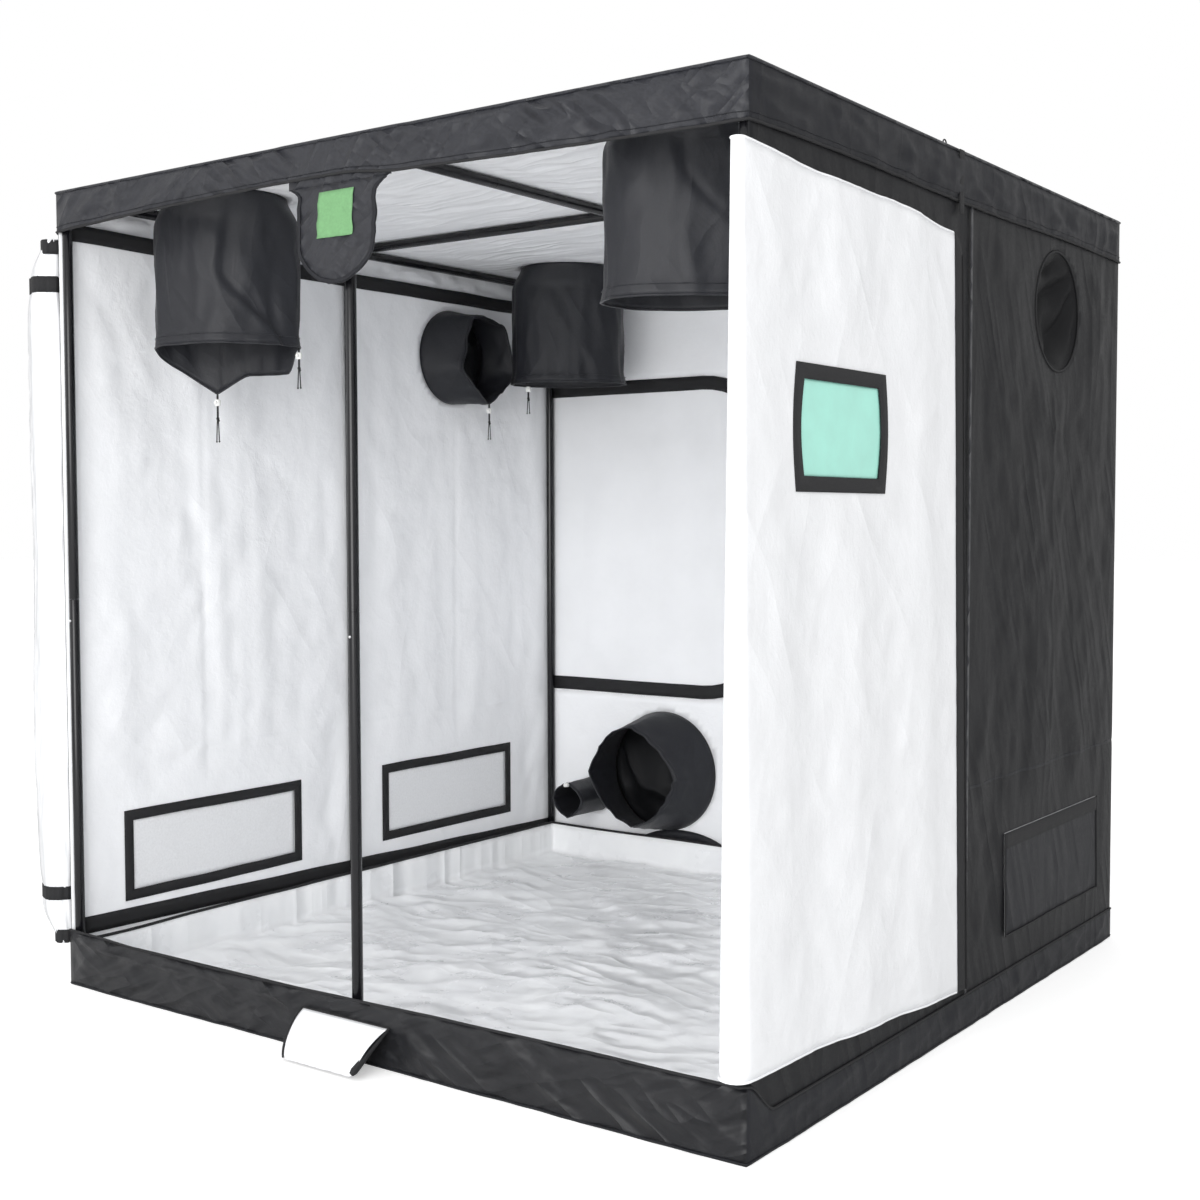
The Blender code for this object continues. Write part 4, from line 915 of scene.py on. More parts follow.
def make_wall_trim(side, sign, seed):
    """The black tapes inside a side wall, under the roof band and over the base."""
    levels = ((1.885, 1.882, 0.042, "upper"), (0.121, 0.082, 0.044, "lower"))
    for front, rear, width, label in levels:
        line = []
        for u in steps(-0.97, 0.99, 0.03):
            share = (u + 1) / 2
            wave = 0.0025 * soft_noise(u * 5, seed, front)
            height = front + (rear - front) * share + wave
            inner = side_wall_x(sign, u, height + width / 2, seed) - sign * (CLOTH / 2 + 0.0006)
            line.append(Vector((inner, u, height)))
        side_way = [UP] * len(line)
        tape(f"{side}_wall_{label}_tape", line, side_way, width, (-sign, 0, 0), "tent", 0.0014)


def rear_wall_y(u, v):
    """The middle of the rear wall's cloth."""
    return HALF - CLOTH / 2 + wall_slack(u, v, 5) * 0.8


def door_outline(inset):
    signs = (1, -1, 1, -1, -1)
    left, right, bottom, top, radius = (s + sign * inset for s, sign in zip(REAR_DOOR, signs))
    points = [(left, top)]
    for start, cv in ((90, top - radius), (0, bottom + radius)):
        for i in range(13):
            angle = radians(start - 90 * i / 12)
            points.append((right - radius + radius * cos(angle), cv + radius * sin(angle)))
    points.append((left, bottom))
    return points


def make_rear_wall():
    edge = door_outline(0)
    gap = 0.0008
    holes = [circle_hole(*INLET), circle_hole(*CABLE_PORT), outline_hole(edge)]
    marks = (REAR_DOOR[0], REAR_DOOR[1], -0.84, -0.75)
    us = steps(-0.9975, 0.9975, GRID, marks)
    vs = steps(SIDE_BASE - 0.012, BAND_BOTTOM + 0.02, GRID,
               (REAR_DOOR[2], REAR_DOOR[3], SEAM, 0.19, 0.275))
    mesh = cloth_grid("rear_wall", us, vs, lambda u, v: Vector((u, rear_wall_y(u, v), v)), holes)
    wall_cloth("rear", mesh, FRONT)

    inner = door_outline(gap)
    us = steps(REAR_DOOR[0] + gap, REAR_DOOR[1] - gap, GRID)
    vs = steps(REAR_DOOR[2] + gap, REAR_DOOR[3] - gap, GRID)

    def place(u, v):
        swell = 0.004 * crumple(u, v, 9, 0.4) * ease((u - REAR_DOOR[0]) / 0.1)
        swell *= ease((REAR_DOOR[1] - u) / 0.1)
        return Vector((u, rear_wall_y(u, v) + max(-0.0004, swell * 0.4), v))

    mesh = cloth_grid("rear_door", us, vs, place, (), outline_hole(inner))
    door = cloth("rear_door_cloth", mesh, FRONT, ["liner_smooth", "shaded_oxford_side"], "rear_door",
                 ["rear_door"], CLOTH, 0.0)
    for label, shift, facing in (("inner", -0.0022, FRONT), ("outer", 0.0022, (0, 1, 0))):
        outer = door_outline(0.003)
        drawn = door_outline(0.003 + (0.045 if label == "inner" else 0.03))
        drawn[0] = (outer[0][0], drawn[0][1])
        drawn[-1] = (outer[-1][0], drawn[-1][1])
        line = [Vector((u, rear_wall_y(u, v) + shift, v)) for u, v in dense(outer)]
        ends = [Vector((u, rear_wall_y(u, v) + shift, v)) for u, v in dense(drawn)]
        across = [(end - start) for start, end in zip(line, ends)]
        tape(f"rear_door_{label}_tape", line, across, 1.0, facing, "rear_door")
    make_drain_panel()


def dense(outline):
    """The outline with its straight runs filled in, point for point with any other inset of it."""
    points = []
    for i, ((u0, v0), (u1, v1)) in enumerate(zip(outline, outline[1:])):
        many = 8 if i in (0, 13, len(outline) - 2) else 1
        for k in range(many):
            points.append((u0 + (u1 - u0) * k / many, v0 + (v1 - v0) * k / many))
    return points + [outline[-1]]


DRAIN_MIDDLE = -0.435
DRAIN_FOOT = 0.034
DRAIN_HALF = 0.215
DRAIN_HEIGHT = 0.108


def make_drain_panel():
    """The half-round black panel low in the rear wall, where a drain hose leaves."""
    points = []
    for row in range(7):
        share = row / 6
        for k in range(25):
            angle = pi * k / 24
            u = DRAIN_MIDDLE + DRAIN_HALF * share * cos(angle)
            v = DRAIN_FOOT + DRAIN_HEIGHT * share * sin(angle)
            bulge = 0.002 * sin(angle) * share
            points.append(Vector((u, rear_wall_y(u, v) - 0.003 - bulge, v)))
    mesh = mesh_from("drain_panel", points, sheet_faces(6, 25))
    cloth("drain_panel", mesh, FRONT, ["sock_cloth"], "tent", (), TAPE_SHEET, 1.0)


# The vents
FRAME_SWAY = 0.0022
FRAME_STAND = 0.0022
NET_INSET = 0.02
FLAP_MARGIN = 0.012


def ring_tape(name, inner, outer, place, facing, body):
    """A tape between two matching closed outlines."""
    points = []
    for (u0, v0), (u1, v1) in zip(inner, outer):
        for share in (0, 0.5, 1):
            points.append(place(u0 + (u1 - u0) * share, v0 + (v1 - v0) * share))
    count = len(inner)
    faces = [(i * 3 + k, i * 3 + k + 1, j * 3 + k + 1, j * 3 + k)
             for i, j in zip(range(count), (*range(1, count), 0)) for k in range(2)]
    mesh = mesh_from(name, points, faces)
    return cloth(name, mesh, facing, ["tape"], body, (), 0.0014, 1.0)


def rectangle_loop(u0, u1, v0, v1):
    loop = []
    count = 14
    corners = ((u0, v0), (u1, v0), (u1, v1), (u0, v1))
    for (a, b), (c, d) in zip(corners, corners[1:] + corners[:1]):
        loop += [(a + (c - a) * i / count, b + (d - b) * i / count) for i in range(count)]
    return loop


def make_vents():
    plans = (("left_front", -1, LEFT_VENTS[0], 1), ("left_rear", -1, LEFT_VENTS[1], 1),
             ("right_rear", 1, RIGHT_VENTS[0], 2))
    for name, sign, y, seed in plans:
        start, end = y - VENT_WIDTH / 2, y + VENT_WIDTH / 2
        top = VENT_BOTTOM + VENT_HEIGHT

        def place(u, v):
            sway = FRAME_SWAY * soft_noise(u * 6, v * 9, seed)
            return Vector((side_wall_x(sign, u, v, seed) - sign * FRAME_STAND, u, v + sway))

        inner = rectangle_loop(start + VENT_TAPE, end - VENT_TAPE, VENT_BOTTOM + VENT_TAPE,
                               top - VENT_TAPE)
        outer = rectangle_loop(start, end, VENT_BOTTOM, top)
        ring_tape(f"{name}_vent_frame", inner, outer, place, (-sign, 0, 0), "tent")

        def net_place(u, v):
            inset = min(u - start, end - u, v - VENT_BOTTOM, top - v) - VENT_TAPE
            swell = 0.0018 * crumple(u, v, seed + 11, 0.2) * ease(inset / 0.03)
            return Vector((side_wall_x(sign, u, v, seed) + sign * swell, u, v))

        us = steps(start + NET_INSET, end - NET_INSET, 0.02)
        vs = steps(VENT_BOTTOM + NET_INSET, top - NET_INSET, 0.02)
        mesh = cloth_grid(f"{name}_net", us, vs, net_place)
        net = cloth(f"{name}_vent_net_cloth", mesh, (-sign, 0, 0), ["net"], "tent",
                    [f"{name}_vent_net"], THIN_CLOTH)
        f"{side_of(name)}_wall_cloth"
        make_vent_flap(name, sign, y, seed)


def side_of(name):
    return name.split("_")[0]


def make_vent_flap(name, sign, y, seed):
    """The flap that closes a vent from outside, with its strip and piping."""
    start, end = y - VENT_WIDTH / 2 - FLAP_MARGIN, y + VENT_WIDTH / 2 + FLAP_MARGIN
    low, top = VENT_BOTTOM - FLAP_MARGIN, VENT_BOTTOM + VENT_HEIGHT
    hinge = HALF + GAP + CLOTH

    def place(u, v):
        drop = (top - v) / (top - low)
        swell = 0.004 * drop * (0.7 + crumple(u, v, seed + 21, 0.22))
        return Vector((sign * (hinge + max(0.0, swell)), u, v))

    us = steps(start, end, GRID)
    vs = steps(low, top, GRID)
    mesh = cloth_grid(f"{name}_flap", us, vs, place)
    body = f"{name}_vent_flap"
    flap = cloth(f"{name}_vent_flap_cloth", mesh, (sign, 0, 0), ["shaded_oxford_side", "liner_smooth"],
                 body, [body])
    f"{side_of(name)}_wall_cloth"
    out = Vector((sign * 0.0008, 0, 0))
    strip = [place(u, top - 0.038) + out for u in us]
    tape(f"{name}_flap_strip", strip, [UP] * len(strip), 0.036, (sign, 0, 0), body, 0.001)
    edge = [place(u, low) + out for u in us]
    sides = [place(start, v) + out for v in reversed(vs)]
    other = [place(end, v) + out for v in vs]
    curve_piece(f"{name}_flap_piping", sides[:-1] + edge + other[1:], 0.0022, "tape", body)


# The roof and its band
BAND_STEPS = 150
ROOF_BAND_ROWS = 15
ROOF_BAND_BULGE = 0.0125
PAN_ROWS = 12
PAN_FRONT_BULGE = 0.014
PAN_SIDE_BULGE = 0.01
BAND_STAND = 0.0022


def roof_sag(x, y):
    """How far the roof cloth hangs below its frame, in metres."""
    held = min(abs(x), abs(y), abs(x - 0.985), abs(x + 0.985), abs(y - 0.985), abs(y + 0.985))
    mask = ease(held / 0.13)
    ports = min(hypot(x - sx * PORT_X, y - sy * PORT_Y) for sx, sy in CORNERS.values())
    mask *= 0.25 + 0.75 * ease((ports - PORT_RADIUS) / 0.12)
    return mask * look().wrinkle * (1.3 + 1.1 * crumple(x, y, 31, 0.38))


def make_roof():
    holes = [circle_hole(sx * PORT_X, sy * PORT_Y, PORT_RADIUS) for sx, sy in CORNERS.values()]
    us = steps(-HALF, HALF, 0.02)
    mesh = cloth_grid("roof", us, us, lambda u, v: Vector((u, v, 2 * HALF - roof_sag(u, v))), holes)
    roof = cloth("roof_cloth", mesh, (0, 0, 1), ["shaded_oxford_side", "roof_liner"], "tent",
                 ["roof_panel"])
    for name, (sx, sy) in CORNERS.items():
        ring = []
        for angle in turns(48):
            x, y = 0.153 * cos(angle), 0.153 * sin(angle)
            ring.append(Vector((sx * PORT_X + x, sy * PORT_Y + y, 2.0005)))
        curve_piece(f"roof_port_piping_{name}", ring, 0.0025, "tape", "tent", closed=True)


def band_path():
    """Points round the tent, each with its outward direction, its side and its place along it."""
    path = []
    for corner, (ax, ay, bx, by, ox, oy) in enumerate((
        (-1, -1, 1, -1, 0, -1), (1, -1, 1, 1, 1, 0), (1, 1, -1, 1, 0, 1), (-1, 1, -1, -1, -1, 0),
    )):
        for i in range(BAND_STEPS):
            share = i / BAND_STEPS
            point = Vector((ax + (bx - ax) * share, ay + (by - ay) * share, 0)) * HALF
            outward = Vector((ox, oy, 0))
            if i == 0:
                before = ((-1, 0), (0, -1), (1, 0), (0, 1))[corner]
                outward = (outward + Vector((*before, 0))).normalized()
            path.append((point, outward, corner, share))
    return path


def nylon(along, z, seed):
    """Creases of slack nylon that slant across a band, long and thin, with short ones between."""
    slant = Vector(((along + 0.9 * z) * 5.5, (z - 0.3 * along) * 17, seed))
    back = Vector(((along - 1.1 * z) * 8.5, (z + 0.35 * along) * 21, seed + 4.4))
    swell = soft_noise(along * 3.2, z * 8, seed)
    return 0.5 * ridge(slant) + 0.35 * ridge(back) + 0.3 * swell


def still(corner, share, half):
    """One where the tab or the sill flap hangs over a band, so that the cloth there lies flat."""
    return ease((half + 0.05 - abs(2 * share - 1 + 0.013)) / 0.04) if corner == 0 else 0.0


def roof_band_edge(corner, share):
    """The band's lower edge: it hangs slack along the front, where the doors zip to it."""
    if corner == 0:
        lift = 0.012 + 0.026 * sin(pi * clamp(share * 1.05)) - 0.012 * share
        return BAND_BOTTOM + lift - 0.012 * ease((share - 0.5) / 0.08) * ease((1 - share) / 0.3)
    return BAND_BOTTOM + 0.003 * sin(3 * pi * share)


def make_roof_band():
    path = band_path()
    rows = ROOF_BAND_ROWS
    points = []
    for row in range(rows + 1):
        level = row / rows
        for point, outward, corner, share in path:
            low = roof_band_edge(corner, share)
            z = low + (2 * HALF - low) * level
            along = corner * 2 + share * 2
            held = ease(min(share, 1 - share) * 2 / 0.05) * ease((1 - level) * 4)
            held *= 0.35 + 0.65 * ease(level * 5)
            calm = still(corner, share, 0.155) * ease((0.165 - (z - BAND_BOTTOM)) / 0.03)
            slack = BAND_STAND + ROOF_BAND_BULGE * held * clamp(0.4 + 0.6 * nylon(along, z, 41))
            slack += (0.0048 - slack) * calm
            wander = 3 * soft_noise(along * 9, 0, 5)
            pucker = (1 - calm) * 0.0012 * sin(along * 170 + wander) * ease(1 - level * 4)
            points.append(point + outward * (slack + max(0, pucker)) + Vector((0, 0, z)))
    count = len(path)
    obj = band_cloth("roof_band", "oxford", points, ring_faces(rows, count), path)
    low_edge = [points[i] + Vector((0, 0, 0.001)) for i in range(count)]
    curve_piece("roof_band_lower_piping", low_edge, 0.0032, "tape", "tent", closed=True)
    top_edge = [points[rows * count + i] + Vector((0, 0, -0.0005)) for i in range(count)]
    curve_piece("roof_edge_piping", top_edge, 0.0035, "oxford", "tent", closed=True)
    hem = [points[2 * count + i] + path[i][1] * 0.0004 for i in range(count)]
    curve_piece("roof_band_stitching", hem, 0.0008, "shaded_oxford_side", "tent", 1, closed=True)
    us = steps(-0.166, 0.14, 0.017)
    vs = steps(1.9034, 1.935, 0.0079)

    def place(u, v):
        return Vector((u, tab_y(u, TAB_TOP) + 0.0011, v))

    mesh = cloth_grid("tab_heading", us, vs, place)
    heading = cloth("tab_heading", mesh, FRONT, ["oxford"], "tent", (), THIN_CLOTH,
                    1.0)


def band_cloth(node, front, points, faces, path):
    """A band's cloth: glossy and black inside in front, duller and white inside elsewhere. Its
    front is a copy of the black cloth painted lighter as lit on the roof band, and darker as shade
    on the base.
    """
    mesh = mesh_from(node, points, faces)
    obj = new_object(f"{node}_cloth", mesh, [front, "shaded_oxford_side", "sock_cloth", "liner"])
    for number, polygon in enumerate(mesh.polygons):
        if len(polygon.vertices) == 4:
            polygon.material_index = 1 if path[number % len(path)][2] else 0
    thicken(obj, CLOTH, -1.0, 2, 0)
    return finish_piece(obj, "tent", [node])


# The floor pan
def base_edge(corner, share):
    """The height of the base's upper edge: higher and uneven in front, low elsewhere."""
    if corner == 0:
        along = -1 + 2 * share
        for (s0, h0), (s1, h1) in zip(BASE_EDGE_SHARES, BASE_EDGE_SHARES[1:]):
            if s0 <= along <= s1:
                height = h0 + (h1 - h0) * ease((along - s0) / (s1 - s0))
                wave = 0.0035 * soft_noise(along * 4.5, 2.2, 9.1)
                wave *= ease((1 - abs(along)) * 8)
                return SIDE_BASE + (FRONT_BASE - SIDE_BASE) * height + wave
    if corner == 1:
        return FRONT_BASE * 1.06 + (SIDE_BASE - FRONT_BASE * 1.06) * ease(share / 0.05)
    if corner == 3:
        return FRONT_BASE + (SIDE_BASE - FRONT_BASE) * ease((1 - share) / 0.05)
    return SIDE_BASE


def make_floor_pan():
    path = band_path()
    rows = PAN_ROWS
    points = []
    for row in range(rows + 1):
        level = row / rows
        for point, outward, corner, share in path:
            z = base_edge(corner, share) * level
            along = corner * 2 + share * 2
            held = ease(min(share, 1 - share) * 2 / 0.08)
            bulge = PAN_FRONT_BULGE if corner == 0 else PAN_SIDE_BULGE
            lip = 0.84 - 0.1 * soft_noise(along * 2.6, 4.4, 0.3)
            ledge = 0.011 * exp(-(((level - lip) / 0.075) ** 2)) if corner == 0 else 0
            fold = clamp(0.42 + 0.6 * nylon(along, z, 51))
            upper = (0.3 + 0.7 * ease(level * 2)) * ease((1 - level) * 5)
            slack = BAND_STAND + held * (bulge * fold * upper + ledge)
            slack += (0.0026 - slack) * still(corner, share, 0.14)
            if corner == 0 and share > 0.49:
                slack += (min(slack, DOOR_ROOM) - slack) * ease((z - 0.07) / 0.02)
            points.append(point + outward * slack + Vector((0, 0, z)))
    count = len(path)
    faces = ring_faces(rows, count) + [tuple(reversed(range(count)))]
    obj = band_cloth("floor_pan", "shaded_base_oxford", points, faces, path)
    edge = [points[rows * count + i] for i in range(count)]
    curve_piece("floor_pan_piping", edge, 0.003, "tape", "tent", closed=True)
    foot = [Vector((point.x, point.y, 0.004)) for point in points[count:2 * count]]
    curve_piece("floor_pan_foot_seam", foot, 0.002, "shaded_oxford_side", "tent", closed=True)


# The spill tray
def tray_dip(x, y):
    """How far the tray's rim hangs below its height."""
    return min(0, 0.006 * soft_noise(x * 3.1, y * 3.1, 7.7))


def make_tray():
    low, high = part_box("spill_tray")
    half = high.x - 0.001
    foot = low.z
    top = high.z
    rise = top - foot
    flat = half - 0.012
    us = steps(-flat, flat, 0.0145)
    marks = [0.004, 0.03, 0.06, 0.09, rise]
    line = [(-half, mark) for mark in reversed(marks)] + [(u, 0) for u in us]
    line += [(half, mark) for mark in marks]

    def place(i, j):
        (x, zx), (y, zy) = line[i], line[j]
        z = max(zx, zy)
        streak = ridge(Vector(((x * 0.5 + y) * 4.2, (x - 0.5 * y) * 1.3, 6.1)))
        streak += 0.6 * ridge(Vector(((x * 0.9 - y) * 5.1, (x + y) * 1.5, 8.3)))
        ripple = 0.75 * crumple(x, y, 61, 0.24) + 0.4 * streak
        lift = look().tray_wrinkle * clamp(0.45 + ripple, 0.0, 1.7) * (1 - clamp(z / 0.02))
        lean = 0.004 * crumple(x * 2 + y * 2, z * 3, 63, 0.14) * ease(z / 0.03)
        lean = abs(lean * ease((rise + 0.02 - z) / 0.05))
        dip = tray_dip(x, y) * (z / rise) if z > marks[-2] else 0
        pull = (-copysign(lean, x) if zx else 0, -copysign(lean, y) if zy else 0, 0)
        return Vector((x, y, foot + z + lift + dip)) + Vector(pull)

    wide = len(line)
    points = [place(i, j) for j in range(wide) for i in range(wide)]
    inner = range(len(marks) - 1, wide - len(marks))
    faces = [face for face in sheet_faces(wide - 1, wide)
             if face[0] % wide in inner or face[0] // wide in inner]
    shape = bmesh.new()
    verts = [shape.verts.new(point) for point in points]
    for face in faces:
        shape.faces.new([verts[i] for i in face])
    bmesh.ops.delete(shape, geom=[v for v in shape.verts if not v.link_faces], context="VERTS")
    bmesh.ops.remove_doubles(shape, verts=shape.verts, dist=0.0004)
    mesh = smooth_mesh("spill_tray", shape)
    tray = cloth("spill_tray_cloth", mesh, (0, 0, 1), ["tray"], "tent", ["spill_tray"],
                 0.0015, 0.0)
    corners = [(-half, -half), (half, -half), (half, half), (-half, half)]
    rim = []
    for (ax, ay), (bx, by) in zip(corners, corners[1:] + corners[:1]):
        for i in range(60):
            share = i / 60
            x, y = ax + (bx - ax) * share, ay + (by - ay) * share
            rim.append(Vector((x, y, top + tray_dip(x, y) - 0.002)))
    curve_piece("tray_binding", rim, 0.0042, "tape", "tent", 2, closed=True)


# The ports' sleeves
SOCK_TOP = 1.9977
SOCK_FLARE = 0.005
SOCK_FOLDS = 0.006
SOCK_CREASE = 0.09
SOCK_ROWS = 36
SOCK_SIDES = 120


def make_sock(node, rings, flat, hem_width=0.022):
    """A cloth sleeve from rows of points, with a stitched hem and piping at its mouth."""
    count = len(rings[0])
    points = [point for ring in rings for point in ring]
    mesh = mesh_from(node, points, ring_faces(len(rings) - 1, count))
    shape = bmesh.new()
    shape.from_mesh(mesh)
    bmesh.ops.recalc_face_normals(shape, faces=shape.faces)
    shape.to_mesh(mesh)
    shape.free()
    mesh.shade_smooth()
    obj = new_object(f"{node}_cloth", mesh, ["sock_cloth"])
    thicken(obj, SOCK_SHEET, 0.0)
    finish_piece(obj, "tent", [node])
    mouth = rings[-1]
    curve_piece(f"{node}_hem", mouth, 0.0026, "sock_cloth", "tent", 2, closed=True)
    centre = sum(mouth, Vector()) / count
    stitch = []
    for a, b in zip(mouth, rings[-2]):
        point = a + (b - a).normalized() * hem_width
        stitch.append(point + (point - centre).normalized() * 0.0012)
    curve_piece(f"{node}_stitching", stitch, 0.0007, "oxford", "tent", 1, closed=True)


def sock_ring(centre, across, up, wide, deep, crease, drop, lobe, count=64, folds=0.0, seed=0.0,
              row=0.0, form=None):
    ring = []
    for angle in turns(count):
        pinch = 1 - crease * max(0, cos(angle - pi / 3)) ** 6
        if form is not None:
            pinch *= form(angle)
        x, y = cos(angle), sin(angle)
        ripple = folds * (soft_noise(x * 1.8, y * 1.8, seed + row * 0.9)
                          + 0.5 * ridge(Vector((x * 2.9, y * 2.9, seed + row * 1.7))))
        point = centre + across * (wide * pinch * x) + up * (deep * pinch * y)
        out = (across * x + up * y) * ripple
        ring.append(point + out + drop * (lobe * lobe_hang(angle)))
    return ring


def lobe_hang(angle):
    """How far the long sleeve's mouth hangs on its far side: a tip, and a flatter run beside it."""
    away = abs(angle - LOBE_TURN)
    tip = max(0, 1 - 0.52 * away) ** 2.2
    run = 0.56 * ease((angle - 0.35) / 0.3)
    return max(tip, run) if angle < LOBE_TURN else tip


def flat_sided(angle, power):
    """An oval's radius drawn to flat faces: a power under 2 gives a corner, over 2 a box."""
    return (abs(cos(angle)) ** power + abs(sin(angle)) ** power) ** (-1 / power)


def many_sided(angle, sides, first, amount):
    """A mouth that sags into straight runs between a few corners."""
    turn = 2 * pi / sides
    away = (angle - first) % turn - turn / 2
    return 1 + amount * (cos(turn / 2) / cos(away) - 1)


def ceiling_form(name, angle, share):
    """How a ceiling sleeve departs from an oval: flat faces in front, one with a slanting fold."""
    near = ease(-sin(angle) * 1.6)
    u = cos(angle)
    grown = ease(share * 3)
    if name == "front_left":
        form = flat_sided(angle, 2 - 0.5 * near * grown)
        line = 0.15 - 0.15 * ease(share * 1.8) + 0.86 * ease((share - 0.5) / 0.5)
        fold = tanh((line - u) * 30) * exp(-abs(u - line) * (1.7 if u < line else 0.9))
        return form + 0.045 * fold * near * grown
    if name == "front_right":
        form = flat_sided(angle, 2 + 0.5 * near * grown)
        corner = exp(-(((u - 0.63) / 0.07) ** 2)) - 0.6 * exp(-(((u - 0.78) / 0.08) ** 2))
        line = -0.12 + 0.75 * ease((share - 0.3) / 0.5)
        tuck = exp(-(((u - line) / 0.045) ** 2)) * ease(share * 8) * ease((0.85 - share) * 5)
        return form + (0.03 * corner - 0.035 * tuck) * near * grown
    return flat_sided(angle, 2 + 0.35 * near * grown)


def make_ceiling_socks():
    across, along = SOCK_ACROSS, SOCK_ALONG
    for number, (name, (sx, sy)) in enumerate(CORNERS.items()):
        lobe = LOBE_DROP if name == "front_left" else 0.0
        rings = []
        for i in range(SOCK_ROWS + 1):
            share = i / SOCK_ROWS
            centre = Vector((sx * PORT_X, sy * PORT_Y, SOCK_TOP - share * SOCK_LENGTH))
            grow = ease(share * 5)
            flare = SOCK_FLARE * ease((share - 0.9) / 0.1)
            wide = PORT_RADIUS * (1 + SOCK_WIDENS * grow) + flare
            deep = PORT_RADIUS * (1 - SOCK_NARROWS * grow) + flare
            folds = SOCK_FOLDS * ease(share * 3)
            rings.append(sock_ring(
                centre, across, along, wide, deep, SOCK_CREASE * share, Vector((0, 0, -1)),
                lobe * share ** 2, SOCK_SIDES, folds, number * 3.7, share * 1.5,
                lambda angle: ceiling_form(name, angle, share)))
        make_sock(f"ceiling_sock_{name}", rings, (0.96, SOCK_LENGTH + 0.03))


def make_wall_socks():
    for side, sign, y in (("left", -1, LEFT_PORT_Y), ("right", 1, RIGHT_PORT_Y)):
        rings = []
        for i in range(12):
            share = i / 11
            out = INNER - GAP - share * WALL_SOCK_REACH
            centre = Vector((sign * out, y + share * WALL_SOCK_DRIFT, WALL_PORT_Z))
            deep = PORT_RADIUS * (1 - 0.1 * share)
            rings.append(sock_ring(centre, Vector((0, 1, 0)), UP, deep, PORT_RADIUS,
                                   SOCK_CREASE * share,
                                   Vector(), 0, 64, SOCK_FOLDS * share, 20 + sign, share * 2,
                                   lambda angle: many_sided(angle, 5, -pi / 2, 0.75 * share)))
        make_sock(f"{side}_port_sock", rings, (0.94, 0.125), 0.014)
    plans = (("air_inlet_sock", INLET, 0.15, 0.035, 0.86, (1.2, 0.155)),
             ("cable_port_sock", CABLE_PORT, 0.17, 0, 1, (0.38, 0.175)))
    for node, (x, z, radius), reach, drift, mouth, flat in plans:
        rings = []
        for i in range(14):
            share = i / 13
            centre = Vector((x - share * drift, INNER - GAP - share * reach, z))
            size = radius * (1 - (1 - mouth) * share)
            rings.append(sock_ring(centre, Vector((1, 0, 0)), UP, size, size, SOCK_CREASE * share,
                                   Vector(), 0, 64, 0.03 * radius * share, radius * 90, share * 2,
                                   lambda angle: many_sided(angle, 4, pi, 0.4 * share)))
        make_sock(node, rings, flat, 0.014)


def gathered_end(name, centre, inward, radius, seed):
    """A port's outer end, drawn shut: slack cloth that sinks inward, with slanting folds, painted
    near black as the shade of its recess.
    """
    turn = Vector(inward).to_track_quat("Z", "Y").to_matrix()
    rows, count = 24, 110
    points = []
    for row in range(rows + 1):
        share = row / rows
        size = radius * (1 - 0.985 * share)
        for angle in turns(count):
            x, y = size * cos(angle), size * sin(angle)
            wander = soft_noise(x / radius * 1.5, y / radius * 1.5, seed)
            fold = 1 - 2 * abs(sin((0.7 * x + 0.72 * y) / radius * 5.5 + 2.6 * wander + seed))
            depth = 0.34 * (1 - (1 - share) ** 2.2) + 0.07 * fold * ease(share * 5)
            points.append(Vector(centre) + turn @ Vector((x, y, radius * max(0, depth))))
    faces = ring_faces(rows, count) + [tuple(rows * count + i for i in range(count))]
    mesh = mesh_from(name, points, faces)
    obj = new_object(name, mesh, ["port_shade_cloth"])
    thicken(obj, TAPE_SHEET, 0.0)
    finish_piece(obj, "tent", ())
    size = radius + 0.0006
    outer = [Vector(centre) + turn @ Vector((size * cos(angle), size * sin(angle), -0.0014))
             for angle in turns(72)]
    curve_piece(f"{name}_edge", outer, 0.0026, "tape", "tent", 2, closed=True)


def make_gathered_ends():
    middle = HALF - CLOTH / 2
    ends = (
        ("left_port", (-middle, LEFT_PORT_Y, WALL_PORT_Z), (1, 0, 0), PORT_RADIUS, 3.1),
        ("right_port", (middle, RIGHT_PORT_Y, WALL_PORT_Z), (-1, 0, 0), PORT_RADIUS, 5.3),
        ("air_inlet", (INLET[0], middle, INLET[1]), FRONT, INLET[2], 7.7),
        ("cable_port", (CABLE_PORT[0], middle, CABLE_PORT[1]), FRONT, CABLE_PORT[2], 9.9),
    )
    for name, centre, inward, radius, seed in ends:
        gathered_end(f"{name}_gather", centre, inward, radius - 0.0002, seed)
    profile = [(0.003, -0.009), (0.0065, -0.0075), (0.0068, 0.0075), (0.003, 0.009)]
    barrel = lathe(profile, (-0.792, 0.819, 0.284), (-0.49, 0.819, 0.328), 20)
    solid_piece("cable_port_toggle", [barrel], "white_plastic", "tent", ())


# The front door's right half
LEAF_FOOT = 0.175
LEAF_FOOT_DROP = 0.075
LEAF_HEAD = 1.852
LEAF_CORNER = 0.045
DOOR_SHEET = 0.0016
CORNER_COLUMNS = 26
DOOR_COLUMNS = 74
DOOR_ROWS = 100
WINDOW_MARGIN = 0.003


def leaf_bottom(share):
    """The door's lower edge, which hangs lower towards its free end."""
    return LEAF_FOOT - LEAF_FOOT_DROP * share


def leaf_top(share, reach):
    """The door's upper edge, with a rounded corner at its free end."""
    corner = LEAF_CORNER * max(0, share - (1 - LEAF_CORNER / reach)) ** 2
    corner *= (reach / LEAF_CORNER) ** 2
    slope = 0.038 * ease((share - 0.6) / 0.4)
    return LEAF_HEAD - 0.018 * sin(pi * share) - slope - corner


